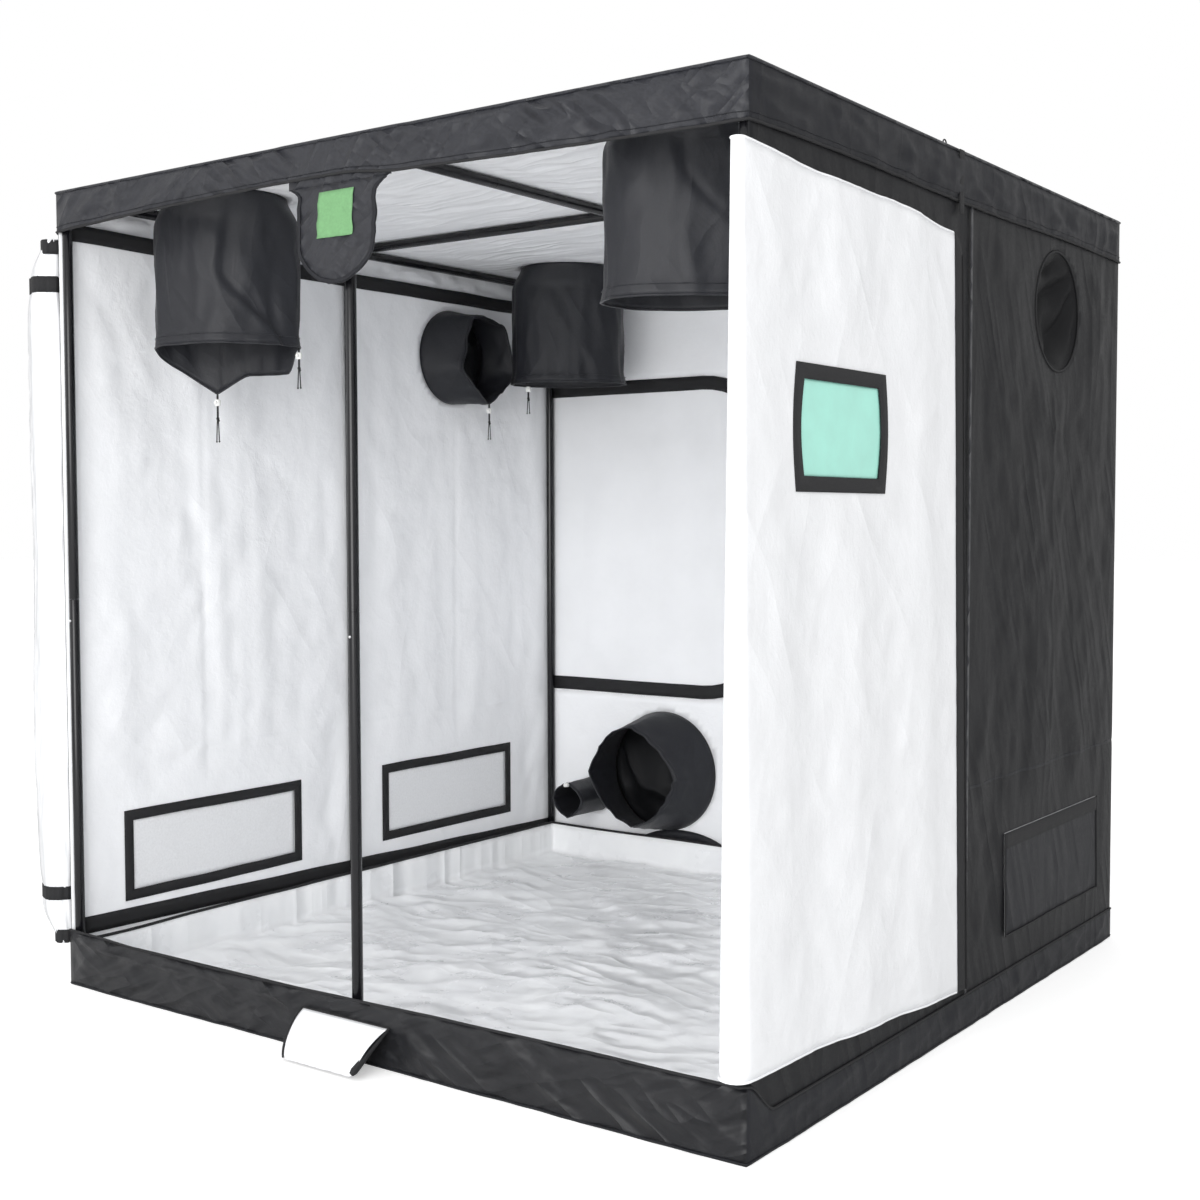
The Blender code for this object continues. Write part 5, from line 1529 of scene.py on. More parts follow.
def leaf_fold(y, z):
    """How far the door's folds stand out: upright waves and slack, calm round the window."""
    lean = z / 2
    folds = sin(2 * pi * (3.2 * y + 0.35 * lean)) * 0.7
    folds += sin(2 * pi * (1.3 * y - 0.9 * lean)) * 0.3
    away_y = max(0, abs(y - WINDOW[0]) / WINDOW[2] - 0.75)
    away_z = max(0, abs(z - WINDOW[1]) / WINDOW[3] - 0.85)
    calm = min(1, 3 * hypot(away_y, away_z))
    return calm * (0.0055 * folds + 0.0055 * crumple(y, z, 71, 0.24))


def leaf_point(run, height):
    """A place on the door: run goes from -1 at its sewn edge, past 0 at the corner, to 1."""
    loop = LEAF_LOOP[0] + (LEAF_LOOP[1] - LEAF_LOOP[0]) * height
    reach = LEAF_REACH[0] + (LEAF_REACH[1] - LEAF_REACH[0]) * height + ZIP_TAPE
    start = HINGE_OUT - GAP
    if run < 0:
        share = 1 + run
        radius = start + (loop - start) * min(1, share * 4)
        radius += 0.35 * ease(share * 1.5 - 0.5) * leaf_fold(-HALF - HINGE_OUT, 0.1 + 1.75 * height)
        angle = radians(90 + 270 * share)
        x = HALF + radius * cos(angle)
        y = -HALF - HINGE_OUT + radius * sin(angle)
        low = leaf_bottom(0)
        return Vector((x, y, low + (leaf_top(0, reach) - low) * height))
    x = HALF + loop + (LEAF_STAND - loop) * ease(run * 4)
    y = -HALF - HINGE_OUT + run * reach
    low = leaf_bottom(run)
    z = low + (leaf_top(run, reach) - low) * height
    fold = leaf_fold(y, z) * min(1, 0.35 + run * 4, (1 - run) * 5)
    if run < 0.08:
        fold = 0.35 * leaf_fold(y, 0.1 + 1.75 * height) * (1 - run / 0.08) + fold * run / 0.08
    return Vector((x + fold, y, z))


def window_loop(margin):
    """The window's outline, widened by a margin: its two upright sides bow outward."""
    count = 10
    cy, cz, width, height = WINDOW
    half = width / 2 + margin
    low = cz - height / 2 - margin
    rise = height + 2 * margin
    right = [(cy + half + WINDOW_BOW * sin(pi * i / count), low + rise * i / count)
             for i in range(count + 1)]
    left = [(2 * cy - y, z) for y, z in reversed(right)]

    def straight(start, end):
        return [(start[0] + (end[0] - start[0]) * i / count, start[1]) for i in range(1, count)]

    return right + straight(right[-1], left[0]) + left + straight(left[-1], right[0])


def make_right_door():
    runs = [-1 + i / CORNER_COLUMNS for i in range(CORNER_COLUMNS)]
    runs += [i / DOOR_COLUMNS for i in range(DOOR_COLUMNS + 1)]
    heights = [i / DOOR_ROWS for i in range(DOOR_ROWS + 1)]
    hole = window_loop(0.0)
    tape_start = 1 - ZIP_TAPE / 0.97
    points, index, faces = [], {}, []

    def vertex(i, j):
        if (i, j) not in index:
            index[(i, j)] = len(points)
            points.append(leaf_point(runs[i], heights[j]))
        return index[(i, j)]

    edge = set()
    black = []
    for j in range(len(heights) - 1):
        for i in range(len(runs) - 1):
            middle = leaf_point((runs[i] + runs[i + 1]) / 2, (heights[j] + heights[j + 1]) / 2)
            corners = ((i, j), (i + 1, j), (i + 1, j + 1), (i, j + 1))
            if runs[i] > 0 and inside_outline(middle.y, middle.z, hole):
                edge.update(corners)
                continue
            faces.append([vertex(*corner) for corner in corners])
            black.append(runs[i] > tape_start)
    for key in edge & set(index):
        point = points[index[key]]
        y, z = nearest_on_outline(point.y, point.z, hole)
        points[index[key]] = Vector((point.x, y, z))
    mesh = mesh_from("right_door", points, faces)
    for polygon, dark in zip(mesh.polygons, black):
        polygon.material_index = 2 if dark else 0
    face_towards(mesh, (1, 0, 0))
    # The door's white face is the liner copy painted darker as shade.
    door = new_object("right_door_cloth", mesh, ["shaded_door_liner", "shaded_oxford_side", "tape", "tape"])
    thicken(door, DOOR_SHEET, -1.0, 1, 1)
    finish_piece(door, "right_door", ["right_door"])

    def place(u, v):
        return Vector((HALF + LEAF_STAND + 0.0012, u, v))

    def outer_place(u, v):
        return Vector((HALF + LEAF_STAND - 0.0034, u, v))

    ring_tape("window_frame", window_loop(-0.004), window_loop(0.026), place, (1, 0, 0),
              "right_door")
    ring_tape("window_outer_frame", window_loop(-0.006), window_loop(0.014), outer_place,
              (-1, 0, 0), "right_door")
    us, vs = (steps(WINDOW[i] - WINDOW[i + 2] / 2 - WINDOW_MARGIN,
                    WINDOW[i] + WINDOW[i + 2] / 2 + WINDOW_MARGIN, 0.012) for i in range(2))

    def film(u, v):
        bow = WINDOW_BOW * sin(pi * clamp((v - WINDOW[1]) / WINDOW[3] + 0.5))
        side = (u - WINDOW[0]) / (WINDOW[2] / 2)
        swell = 0.0012 * crumple(u, v, 81, 0.12)
        return Vector((HALF + LEAF_STAND - 0.0012 + swell, u + bow * side, v))

    pane_mesh = cloth_grid("window_pane", us, vs, film)
    pane = cloth("window_film", pane_mesh, (1, 0, 0), ["green_film"], "right_door",
                 ["window_pane"], THIN_CLOTH)
    for label, run in (("free", 0.9999), ("inner", tape_start)):
        line = [leaf_point(run, h) + Vector((0.0012, 0, 0)) for h in heights]
        curve_piece(f"door_{label}_edge_piping", line, 0.0018, "tape", "right_door", 2)
    for label, height, radius in (("bottom", 0.0, 0.0022), ("top", 1.0, 0.002)):
        line = [leaf_point(run, height) for run in runs if run < tape_start]
        curve_piece(f"door_{label}_hem", line, radius, "liner_smooth", "right_door", 2)


def make_zip_slider():
    low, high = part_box("door_zip_slider")
    middle = (low + high) / 2
    body_low = high.z - 0.014
    shapes = []
    centre = Vector((middle.x, middle.y, body_low + 0.007))
    for shift, width, thick in ((0, 0.0062, 0.0052), (0.0012, 0.0048, 0.006)):
        shapes.append(block(centre, (thick, width, 0.0138 - 2 * shift), 0.001))
    pull = Vector((high.x - 0.0006, high.y - 0.0025, low.z + 0.0135))
    shapes.append(block(pull, (0.0012, 0.0048, 0.026), 0.0005))
    solid_piece("door_zip_slider_look", shapes, "black_metal", "zip_slider", ["door_zip_slider"],
                30)


def block(centre, size, bevel):
    """A small box with bevelled edges, as points and faces."""
    shape = bmesh.new()
    bmesh.ops.create_cube(shape, size=1)
    bmesh.ops.scale(shape, vec=Vector(size), verts=shape.verts)
    bmesh.ops.bevel(shape, geom=list(shape.edges), offset=bevel, segments=2, affect="EDGES")
    bmesh.ops.translate(shape, vec=centre, verts=shape.verts)
    shape.verts.index_update()
    points = [v.co.copy() for v in shape.verts]
    faces = [tuple(v.index for v in face.verts) for face in shape.faces]
    shape.free()
    return points, faces


# The front door's left half
STRAPS = ((1.868, 0.036), (1.776, 0.04), (0.232, 0.034), (0.122, 0.034))


def roll_point(angle, z, margin=0.0):
    """A place on the rolled-up door, drawn in where a strap holds it."""
    share = clamp((z - ROLL_LOW) / (ROLL_HIGH - ROLL_LOW))
    end = min(1, min(share, 1 - share) / 0.07)
    size = 0.42 + 0.58 * sin(end * pi / 2)
    wide = 0.064 * size
    deep = 0.052 * (size + 1) / 2
    pinch = 1.0
    for level, width in STRAPS:
        pinch -= 0.14 * exp(-(((z - level) / (width * 1.1)) ** 2))
    fold = 1 - 0.09 * (0.5 - 0.5 * cos(5 * angle + 2 * share - 1))
    turn = Vector((cos(angle) * 1.6, sin(angle) * 1.6, z * 2.2))
    small = clamp(ridge(turn * 2.3 + Vector((0, 0, z * 5))))
    fold -= 0.12 * clamp(0.4 + noise.noise(turn)) + 0.05 * small
    x = -HALF - GAP - wide + (wide * fold * pinch + margin) * cos(angle)
    y = -HALF + 0.016 + (deep * fold * pinch + margin) * sin(angle)
    return Vector((x, y, z))


def make_left_door():
    around = turns(ROLL_SIDES)
    levels = steps(ROLL_LOW, ROLL_HIGH, GRID)
    points = [roll_point(angle, z) for z in levels for angle in around]
    mesh = mesh_from("left_door", points, capped_faces(len(levels) - 1, ROLL_SIDES))
    # The roll's liner copy is painted darker, with painted shade along its contour.
    obj = new_object("left_door_bundle", mesh, ["shaded_roll_liner"])
    finish_piece(obj, "left_door_roll", ["left_door_roll"])
    for number, (level, width) in enumerate(STRAPS):
        points = []
        for k in range(4):
            rise = Vector((0, 0, level + width * (k / 3 - 0.5)))
            points += [roll_point(angle, level, 0.0012).xy.to_3d() + rise for angle in around]
        mesh = mesh_from("strap", points, ring_faces(3, ROLL_SIDES))
        strap = new_object(f"roll_strap_{number + 1}", mesh, ["tape"])
        thicken(strap, 0.0014, 1.0)
        finish_piece(strap, "left_door_roll", ())


# The front tab and the sill flap
TAB_HALF = 0.116
TAB_SHOULDER = 0.115
TAB_FLARE = 0.034
TAB_NECK = 0.028
FLAP_OUT = 0.0068
FLAP_REACH = 0.087
FLAP_TOP = 0.0935
FLAP_FOOT = 0.0062
FLAP_STEPS = 14


def tab_outline(inset):
    """The tab's edge: it narrows from its sewn edge to straight sides, and ends in a half round."""
    count = 28
    half, drop = TAB_HALF - inset, TAB_DROP - inset
    side = [(half + TAB_FLARE * (1 - i / 3) ** 2, TAB_TOP - TAB_NECK * i / 3) for i in range(4)]
    side += [(half, TAB_TOP - TAB_NECK - (TAB_SHOULDER - TAB_NECK) * i / 5) for i in range(1, 5)]
    points = [(TAB_MIDDLE - wide, v) for wide, v in side]
    for i in range(count + 1):
        angle = radians(180 + 180 * i / count)
        rise = TAB_TOP - TAB_SHOULDER + (drop - TAB_SHOULDER) * sin(angle)
        points.append((TAB_MIDDLE + half * cos(angle), rise))
    return points + [(TAB_MIDDLE + wide, v) for wide, v in reversed(side)]


def tab_y(u, v):
    """Where the front tab hangs, clear of the band behind it."""
    drop = clamp((TAB_TOP - v) / TAB_DROP)
    puckers = 0.0035 * nylon(u * 2.2, v * 1.4, 92) * ease(drop * 4)
    stand = 0.0006 + 0.0065 * ease(drop * 5)
    return -HALF - GAP - CLOTH - stand - 0.006 * drop * (0.8 + crumple(u, v, 91, 0.1)) - puckers


def make_front_tab():
    edge = tab_outline(0.0)
    us = steps(-0.163, 0.137, 0.009)
    vs = steps(TAB_TOP - TAB_DROP, TAB_TOP, 0.009)
    mesh = cloth_grid("front_tab", us, vs, lambda u, v: Vector((u, tab_y(u, v), v)), (),
                      outline_hole(edge))
    tab = cloth("front_tab_cloth", mesh, FRONT, ["oxford"], "front_tab", ["front_tab"])
    drawn = tab_outline(0.009)
    line = [Vector((u, tab_y(u, v) - 0.001, v)) for u, v in edge]
    across = [Vector((a - u, 0, b - v)) for (u, v), (a, b) in zip(edge, drawn)]
    tape("front_tab_binding", line, across, 1.0, FRONT, "front_tab", 0.0018, "shaded_oxford_side")
    us = steps(-0.068, 0.036, 0.008)
    vs = steps(1.788, 1.888, 0.008)
    mesh = cloth_grid("tab_patch", us, vs, lambda u, v: Vector((u, tab_y(u, v) - 0.0012, v)))
    patch = cloth("tab_patch", mesh, FRONT, ["green_patch"], "front_tab", (),
                  THIN_CLOTH, 1.0)


def flap_point(across, share):
    """A place on the sill flap, which slopes down to the floor and rolls up at its right side."""
    y = -HALF - FLAP_OUT - FLAP_REACH * (1 - (1 - share) ** 1.6)
    z = FLAP_TOP + (FLAP_FOOT - FLAP_TOP) * share ** 1.2
    wave = 0.004 * crumple(across * 0.12, share * 0.1, 95, 0.09) * share
    roll = 0.012 * share * clamp((across - 0.84) / 0.16) ** 2
    width = 0.125 - 0.018 * share if across > 0 else 0.138 - 0.028 * share
    return Vector((-0.01 + across * width, y, max(0.0056, z + wave) + roll))


def make_sill_flap():
    across = [-1 + i / FLAP_STEPS for i in range(2 * FLAP_STEPS + 1)]
    shares = [i / FLAP_STEPS for i in range(FLAP_STEPS + 1)]
    points = [flap_point(a, s) for s in shares for a in across]
    mesh = mesh_from("sill_flap", points, sheet_faces(FLAP_STEPS, len(across)))
    flap = cloth("sill_flap_cloth", mesh, (0, -0.5, 1), ["liner_smooth", "oxford"], "sill_flap",
                 ["sill_flap"])
    line = [flap_point(-1, s) + Vector((0, 0, 0.0008)) for s in shares]
    curve_piece("sill_flap_left_binding", line, 0.003, "tape", "sill_flap", 2)
    profile = [(0.002, 0), (0.0042, 0.012), (0.0052, 0.06), (0.0078, 0.1), (0.0085, 0.115),
               (0.0055, 0.124)]
    roll = lathe(profile, flap_point(1, 0), flap_point(1, 1) + Vector((0, 0, 0.004)), 18)
    solid_piece("sill_flap_right_binding", [roll], "tape", "sill_flap")
    hem = [flap_point(a, 0.0) + Vector((0, -0.0006, 0)) for a in across]
    curve_piece("sill_flap_top_binding", hem, 0.0022, "tape", "sill_flap", 2)


# Drawcords
CORD_RADIUS = 0.0015
CORD_SPREAD = 0.0019
CORD_STEP = 0.009
BEND_SHARES = ((1, 2.6), (0.82, 2.1), (0.66, 1.6), (0.52, 0.9), (0.42, 1), (0.2, 1), (0, 1))


def drawcord_places():
    """Where each drawcord leaves its sleeve's hem, and how long its tails hang."""
    sheet = SOCK_SHEET / 2
    hem = 2 * HALF - CLOTH - GAP - SOCK_LENGTH - GAP
    wide = PORT_RADIUS * (1 + SOCK_WIDENS)
    deep = PORT_RADIUS * (1 - SOCK_NARROWS)
    across, along = SOCK_ACROSS, SOCK_ALONG
    front_left = Vector((-PORT_X, -PORT_Y, hem))
    front_right = Vector((PORT_X, -PORT_Y, hem))
    rear_left = Vector((-PORT_X, PORT_Y, hem))
    reach = INNER - GAP - WALL_SOCK_REACH
    left_mouth = Vector((-reach, LEFT_PORT_Y + WALL_SOCK_DRIFT, WALL_PORT_Z))
    lobe_tip = front_left + across * ((wide - sheet) * cos(LOBE_TURN))
    lobe_tip += along * ((deep - sheet) * sin(LOBE_TURN)) - Vector((0, 0, LOBE_DROP))
    return {
        "front_left_outer": (front_left + across * (wide - sheet), 0.1),
        "front_left_inner": (lobe_tip, 0.12),
        "front_right": (front_right + across * (wide * 0.5) - along * (deep * 0.86 - sheet), 0.12),
        "rear_left": (rear_left - across * (wide * 0.7) - along * (deep * 0.71 - sheet), 0.095),
        "left_port": (left_mouth + Vector((-sheet, 0, -PORT_RADIUS - GAP)), 0.11),
    }


def smooth_route(points, spacing):
    """A smooth line through all the points, as points at an even spacing."""
    dense_points = []
    count = len(points)
    for i in range(count - 1):
        before, start = points[max(0, i - 1)], points[i]
        end, after = points[i + 1], points[min(count - 1, i + 2)]
        for step in range(8):
            t = step / 8
            a, b = (end - before) * 0.5, (after - start) * 0.5
            point = (2 * t ** 3 - 3 * t ** 2 + 1) * start + (t ** 3 - 2 * t ** 2 + t) * a
            dense_points.append(point + (-2 * t ** 3 + 3 * t ** 2) * end + (t ** 3 - t ** 2) * b)
    dense_points.append(points[-1])
    length = sum((b - a).length for a, b in zip(dense_points, dense_points[1:]))
    many = max(2, round(length / spacing))
    route = [dense_points[0]]
    travelled = 0
    for a, b in zip(dense_points, dense_points[1:]):
        travelled += (b - a).length
        if travelled >= len(route) * length / many and len(route) < many:
            route.append(b)
    return route + [dense_points[-1]]


def cord_tails(place, tail):
    """A drawcord's two tails, each from where it leaves the hem down to its tip."""
    top = place - Vector((0, 0, GAP + CORD_RADIUS + CORD_SPREAD))
    bends = [Vector((CORD_SPREAD * aside, 0, -tail * down)) for down, aside in BEND_SHARES]
    half = cos(pi / 4) * CORD_SPREAD
    one = [Vector((0, 0, CORD_SPREAD)), Vector((half, 0, half))]
    one += reversed(smooth_route(bends, CORD_STEP))
    first = [top + point for point in one]
    second = [top + Vector((-point.x, 0, point.z)) for point in one]
    return first, second, top


def make_cords():
    for name, (place, tail) in drawcord_places().items():
        first, second, top = cord_tails(place, tail)
        lock = make_lock(name)
        middle = top + Vector((0, 0, -tail * 0.5))
        balls = [ball(middle, 0.0042), ball(middle + Vector((0.0012, 0.001, -0.005)), 0.0036)]
        knot = solid_piece(f"drawcord_{name}_knot", balls, "cord", "tent", ())
        for label, route, held in (("first", first, [knot, lock]), ("second", second, [])):
            obj = curve_piece(f"drawcord_{name}_{label}", route, CORD_RADIUS, "cord", "tent", 2,
                              nodes=[f"drawcord_{name}"])
            tip = solid_piece(f"drawcord_{name}_{label}_tip", [ball(route[-1], 0.0024)], "cord",
                              "tent", ())
            length = sum((b - a).length for a, b in zip(route, route[1:]))
            tuple(route[0])


def make_lock(name):
    """A ball lock: a rounded barrel with a plunger that stands out of its side."""
    low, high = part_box(f"cord_lock_{name}")
    centre = (low + high) / 2
    profile = [(0.0041, -0.0086), (0.006, -0.0085), (0.0078, -0.0055), (0.008, 0),
               (0.0078, 0.0055), (0.006, 0.0085), (0.0041, 0.0086)]
    body = lathe(profile, centre, centre + UP, 24)
    plunger = lathe([(0.0042, 0.006), (0.0042, 0.0115), (0.0034, 0.0125)], centre,
                    centre + Vector((0.3, -1, 0)), 18)
    node = f"cord_lock_{name}"
    return solid_piece(f"{node}_look", [body, plunger], "white_plastic", node, [node])


# Small trim
LOOP_PLACE = (0.992, -0.147, 2.006)
LOOP_RADIUS = 0.009
LOOP_FOOT = 1.999


def make_trim():
    """The wire loop on the roof's right edge, its strap, and the upright seam on the right wall."""
    x, y, z = LOOP_PLACE
    loop = [Vector((x, -0.156, LOOP_FOOT))]
    for i in range(17):
        angle = pi * i / 16
        across, rise = LOOP_RADIUS * cos(angle), LOOP_RADIUS * sin(angle)
        loop.append(Vector((x, y - across, z + rise)))
    loop.append(Vector((x, -0.138, LOOP_FOOT)))
    curve_piece("hanging_loop", loop, 0.0016, "black_metal", "tent", 3)
    line = [Vector((HALF + 0.0095, -0.105, z)) for z in steps(1.86, 2.0, 0.02)]
    tape("loop_strap", line, [Vector((0, 1, 0))] * len(line), 0.024, (1, 0, 0), "tent")
    line = [Vector((HALF + 0.0045, -0.03, z)) for z in steps(0.085, 1.885, 0.03)]
    tape("right_wall_upright_seam", line, [Vector((0, 1, 0))] * len(line), 0.012, (1, 0, 0),
         "tent", 0.001, "oxford")


# The stage
CAMERA_PLACE = (2.48244, -3.49112, 1.18407)
CAMERA_TURN = (-0.62830, -0.05030, -0.00249)
CAMERA_LENS = 48.27


def make_stage():
    """The camera as in the photograph, the white floor and surroundings, and three lights."""
    scene = bpy.context.scene
    data = bpy.data.cameras.new("camera")
    data.sensor_width = 36.0
    data.lens = CAMERA_LENS
    data.clip_end = 60
    camera = bpy.data.objects.new("camera", data)
    scene.collection.objects.link(camera)
    yaw, pitch, roll = CAMERA_TURN
    flat = cos(pitch)
    forward = Vector((sin(yaw) * flat, cos(yaw) * flat, sin(pitch)))
    right = Vector((cos(yaw), -sin(yaw), 0))
    up = right.cross(forward)
    across = right * cos(roll) + up * sin(roll)
    above = up * cos(roll) - right * sin(roll)
    turn = Matrix((across, above, -forward)).transposed()
    camera.matrix_world = Matrix.Translation(CAMERA_PLACE) @ turn.to_4x4()
    scene.camera = camera

    floor_mesh = bpy.data.meshes.new("floor")
    shape = bmesh.new()
    bmesh.ops.create_grid(shape, x_segments=1, y_segments=1, size=40)
    shape.to_mesh(floor_mesh)
    shape.free()
    floor_material = bpy.data.materials.new("floor")
    floor_material.use_nodes = True
    tree = floor_material.node_tree
    shader = tree.nodes["Principled BSDF"]
    set_inputs(shader, {"Base Color": (0.9, 0.9, 0.9, 1), "Roughness": 0.9,
                        "Emission Color": (1, 1, 1, 1)})
    seen = tree.nodes.new("ShaderNodeLightPath")
    glow = maths(tree, "MULTIPLY", seen.outputs["Is Camera Ray"], look().floor_glow)
    tree.links.new(glow, shader.inputs["Emission Strength"])
    floor = bpy.data.objects.new("floor", floor_mesh)
    floor.location.z = -0.0005
    scene.collection.objects.link(floor)
    floor_mesh.materials.append(floor_material)
    floor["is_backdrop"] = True

    world = bpy.data.worlds.new("world")
    scene.world = world
    world.use_nodes = True
    tree = world.node_tree
    background = tree.nodes["Background"]
    set_inputs(background, {"Color": (1, 1, 1, 1)})
    seen = tree.nodes.new("ShaderNodeLightPath")
    strength = maths(tree, "MULTIPLY", seen.outputs["Is Camera Ray"], 1.0 - look().sky)
    tree.links.new(maths(tree, "ADD", strength, look().sky), background.inputs["Strength"])
    scene.view_settings.view_transform = "Standard"
    lights = (
        ("key", (2.0, -6.2, 2.2), (0, 0, 0.9), 4.0, look().key_light),
        ("left_fill", (-4.2, -4.6, 3.0), (0, 0, 1.0), 3.0, look().front_light),
        ("overhead", (0.4, -0.6, 5.2), (0, 0, 0), 3.0, look().top_light),
    )
    for name, place, target, size, power in lights:
        light = bpy.data.lights.new(name, "AREA")
        light.shape = "SQUARE"
        light.size = size
        light.energy = power
        obj = bpy.data.objects.new(name, light)
        obj.location = place
        obj.rotation_euler = (Vector(target) - Vector(place)).to_track_quat("-Z", "Y").to_euler()
        scene.collection.objects.link(obj)


# Settings, operators and panel
class GrowTentLook(bpy.types.PropertyGroup):
    """Colours, folds and lights of the tent"""

    black_cloth: bpy.props.FloatVectorProperty(
        name="Black cloth", description="Colour of the woven outer cloth",
        subtype="COLOR", size=3, min=0, max=1, default=(0.0098, 0.0104, 0.0136))
    white_cloth: bpy.props.FloatVectorProperty(
        name="White cloth", description="Colour of the coated inner face",
        subtype="COLOR", size=3, min=0, max=1, default=(0.945, 0.955, 0.975))
    pole: bpy.props.FloatVectorProperty(
        name="Poles", description="Colour of the poles' powder coat",
        subtype="COLOR", size=3, min=0, max=1, default=(0.006, 0.006, 0.0075))
    pane: bpy.props.FloatVectorProperty(
        name="Window", description="Colour of the window's green film",
        subtype="COLOR", size=3, min=0, max=1, default=(0.375, 0.785, 0.667))
    patch: bpy.props.FloatVectorProperty(
        name="Patch", description="Colour of the patch on the front tab",
        subtype="COLOR", size=3, min=0, max=1, default=(0.15, 0.33, 0.145))
    wrinkle: bpy.props.FloatProperty(
        name="Wall slack", description="Height of the folds in the walls and roof",
        subtype="DISTANCE", min=0, max=0.02, default=0.0085)
    tray_wrinkle: bpy.props.FloatProperty(
        name="Tray folds", description="Height of the folds in the tray's floor",
        subtype="DISTANCE", min=0, max=0.03, default=0.014)
    sky: bpy.props.FloatProperty(
        name="Sky", description="Strength of the white surroundings", min=0, max=5, default=0.84)
    floor_glow: bpy.props.FloatProperty(
        name="Floor", description="How far the floor is lifted to white",
        subtype="FACTOR", min=0, max=1, default=0.4)
    key_light: bpy.props.FloatProperty(
        name="Key light", description="Power of the key light, in watts",
        unit="POWER", min=0, default=275)
    front_light: bpy.props.FloatProperty(
        name="Front light", description="Power of the left fill, in watts",
        unit="POWER", min=0, default=26)
    top_light: bpy.props.FloatProperty(
        name="Top light", description="Power of the light overhead, in watts",
        unit="POWER", min=0, default=40)


def build(*makers):
    """Runs each maker in turn. An error in one stops the script."""
    for maker in makers:
        maker()
    return {"FINISHED"}


class GROWTENT_OT_materials(bpy.types.Operator):
    """Makes every material of the tent"""

    bl_idname = "grow_tent.materials"
    bl_label = "Materials"

    def execute(self, context):
        return build(make_materials)


class GROWTENT_OT_stage(bpy.types.Operator):
    """Makes the camera, the floor, the surroundings and the lights"""

    bl_idname = "grow_tent.stage"
    bl_label = "Stage"

    def execute(self, context):
        return build(make_stage)


class GROWTENT_OT_cords(bpy.types.Operator):
    """Makes the socks' drawcords and their locks"""

    bl_idname = "grow_tent.cords"
    bl_label = "Drawcords"

    def execute(self, context):
        return build(make_cords)


class GROWTENT_OT_poles(bpy.types.Operator):
    """Makes the posts, rails and roof bars with their fittings"""

    bl_idname = "grow_tent.poles"
    bl_label = "Poles"

    def execute(self, context):
        return build(make_posts, make_rails)


class GROWTENT_OT_side_walls(bpy.types.Operator):
    """Makes the two side walls with their tapes and seams"""

    bl_idname = "grow_tent.side_walls"
    bl_label = "Side Walls"

    def execute(self, context):
        return build(make_side_walls)


class GROWTENT_OT_rear_wall(bpy.types.Operator):
    """Makes the rear wall, its door and its tapes"""

    bl_idname = "grow_tent.rear_wall"
    bl_label = "Rear Wall"

    def execute(self, context):
        return build(make_rear_wall)


class GROWTENT_OT_vents(bpy.types.Operator):
    """Makes the nets, frames and flaps of the vents"""

    bl_idname = "grow_tent.vents"
    bl_label = "Vents"

    def execute(self, context):
        return build(make_vents)


class GROWTENT_OT_roof(bpy.types.Operator):
    """Makes the roof cloth and the band round it"""

    bl_idname = "grow_tent.roof"
    bl_label = "Roof"

    def execute(self, context):
        return build(make_roof, make_roof_band)


class GROWTENT_OT_floor_pan(bpy.types.Operator):
    """Makes the black base and its edges"""

    bl_idname = "grow_tent.floor_pan"
    bl_label = "Floor Pan"

    def execute(self, context):
        return build(make_floor_pan)


class GROWTENT_OT_tray(bpy.types.Operator):
    """Makes the white tray that lies on the floor"""

    bl_idname = "grow_tent.tray"
    bl_label = "Spill Tray"

    def execute(self, context):
        return build(make_tray)


class GROWTENT_OT_socks(bpy.types.Operator):
    """Makes the sleeves of the ceiling, wall and rear ports"""

    bl_idname = "grow_tent.socks"
    bl_label = "Socks"

    def execute(self, context):
        return build(make_ceiling_socks, make_wall_socks, make_gathered_ends)


class GROWTENT_OT_right_door(bpy.types.Operator):
    """Makes the folded-back door, its window and zip"""

    bl_idname = "grow_tent.right_door"
    bl_label = "Right Door"

    def execute(self, context):
        return build(make_right_door, make_zip_slider)


class GROWTENT_OT_left_door(bpy.types.Operator):
    """Makes the bundled door and its straps"""

    bl_idname = "grow_tent.left_door"
    bl_label = "Left Door"

    def execute(self, context):
        return build(make_left_door)


class GROWTENT_OT_front_tab(bpy.types.Operator):
    """Makes the tab over the front post and its patch"""

    bl_idname = "grow_tent.front_tab"
    bl_label = "Front Tab"

    def execute(self, context):
        return build(make_front_tab)


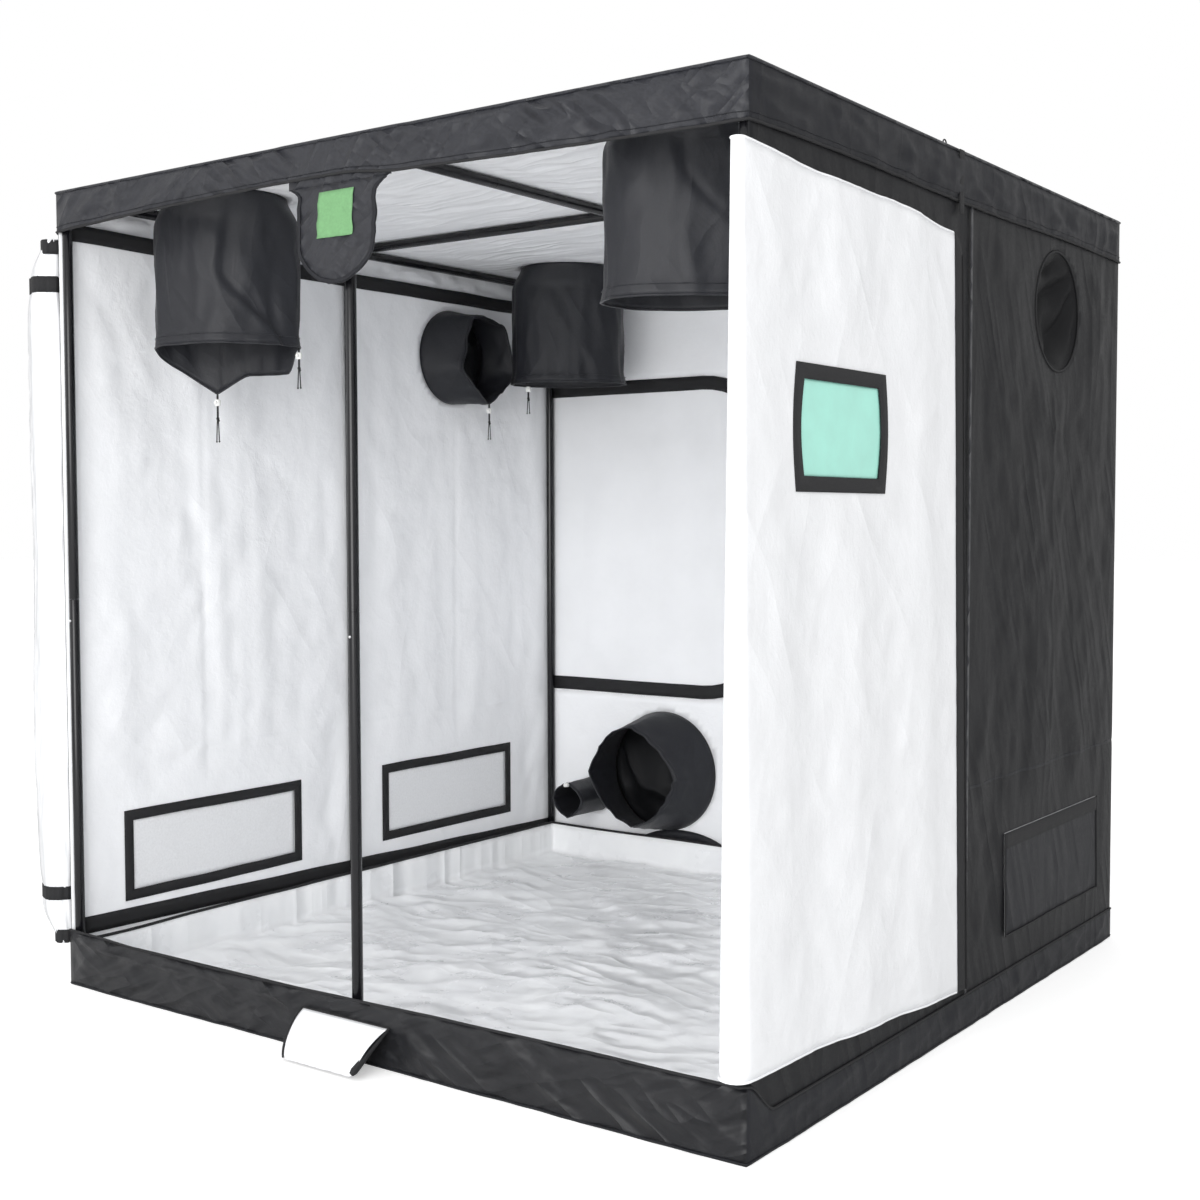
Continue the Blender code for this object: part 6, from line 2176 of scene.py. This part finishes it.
class GROWTENT_OT_sill_flap(bpy.types.Operator):
    """Makes the flap over the front of the base"""

    bl_idname = "grow_tent.sill_flap"
    bl_label = "Sill Flap"

    def execute(self, context):
        return build(make_sill_flap)


class GROWTENT_OT_trim(bpy.types.Operator):
    """Makes the wire loop, its strap and the wall's seam"""

    bl_idname = "grow_tent.trim"
    bl_label = "Small Trim"

    def execute(self, context):
        return build(make_trim)


OPERATORS = (
    GROWTENT_OT_materials,
    GROWTENT_OT_stage,
    GROWTENT_OT_cords,
    GROWTENT_OT_poles,
    GROWTENT_OT_side_walls,
    GROWTENT_OT_rear_wall,
    GROWTENT_OT_vents,
    GROWTENT_OT_roof,
    GROWTENT_OT_floor_pan,
    GROWTENT_OT_tray,
    GROWTENT_OT_socks,
    GROWTENT_OT_right_door,
    GROWTENT_OT_left_door,
    GROWTENT_OT_front_tab,
    GROWTENT_OT_sill_flap,
    GROWTENT_OT_trim,
)


class GROWTENT_PT_panel(bpy.types.Panel):
    """Lists the tent's settings and the steps that build it"""

    bl_idname = "GROWTENT_PT_panel"
    bl_label = "Grow Tent"
    bl_space_type = "VIEW_3D"
    bl_region_type = "UI"
    bl_category = "Grow Tent"

    def draw(self, context):
        for name in GrowTentLook.__annotations__:
            self.layout.prop(context.scene.grow_tent_look, name)
        for cls in OPERATORS:
            self.layout.operator(cls.bl_idname)


CLASSES = (GrowTentLook, *OPERATORS, GROWTENT_PT_panel)


def register():
    for cls in CLASSES:
        bpy.utils.register_class(cls)
    bpy.types.Scene.grow_tent_look = bpy.props.PointerProperty(type=GrowTentLook)


def unregister():
    del bpy.types.Scene.grow_tent_look
    for cls in reversed(CLASSES):
        bpy.utils.unregister_class(cls)


def main():
    register()
    for cls in OPERATORS:
        name = cls.bl_idname.split(".")[1]
        getattr(bpy.ops.grow_tent, name)()
    bpy.context.view_layer.update()
    pairs = (("cad", CAD_BOX), ("visual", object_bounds()))
    boxes = {label: [list(corner) for corner in box] for label, box in pairs}


if __name__ == "__main__":
    main()
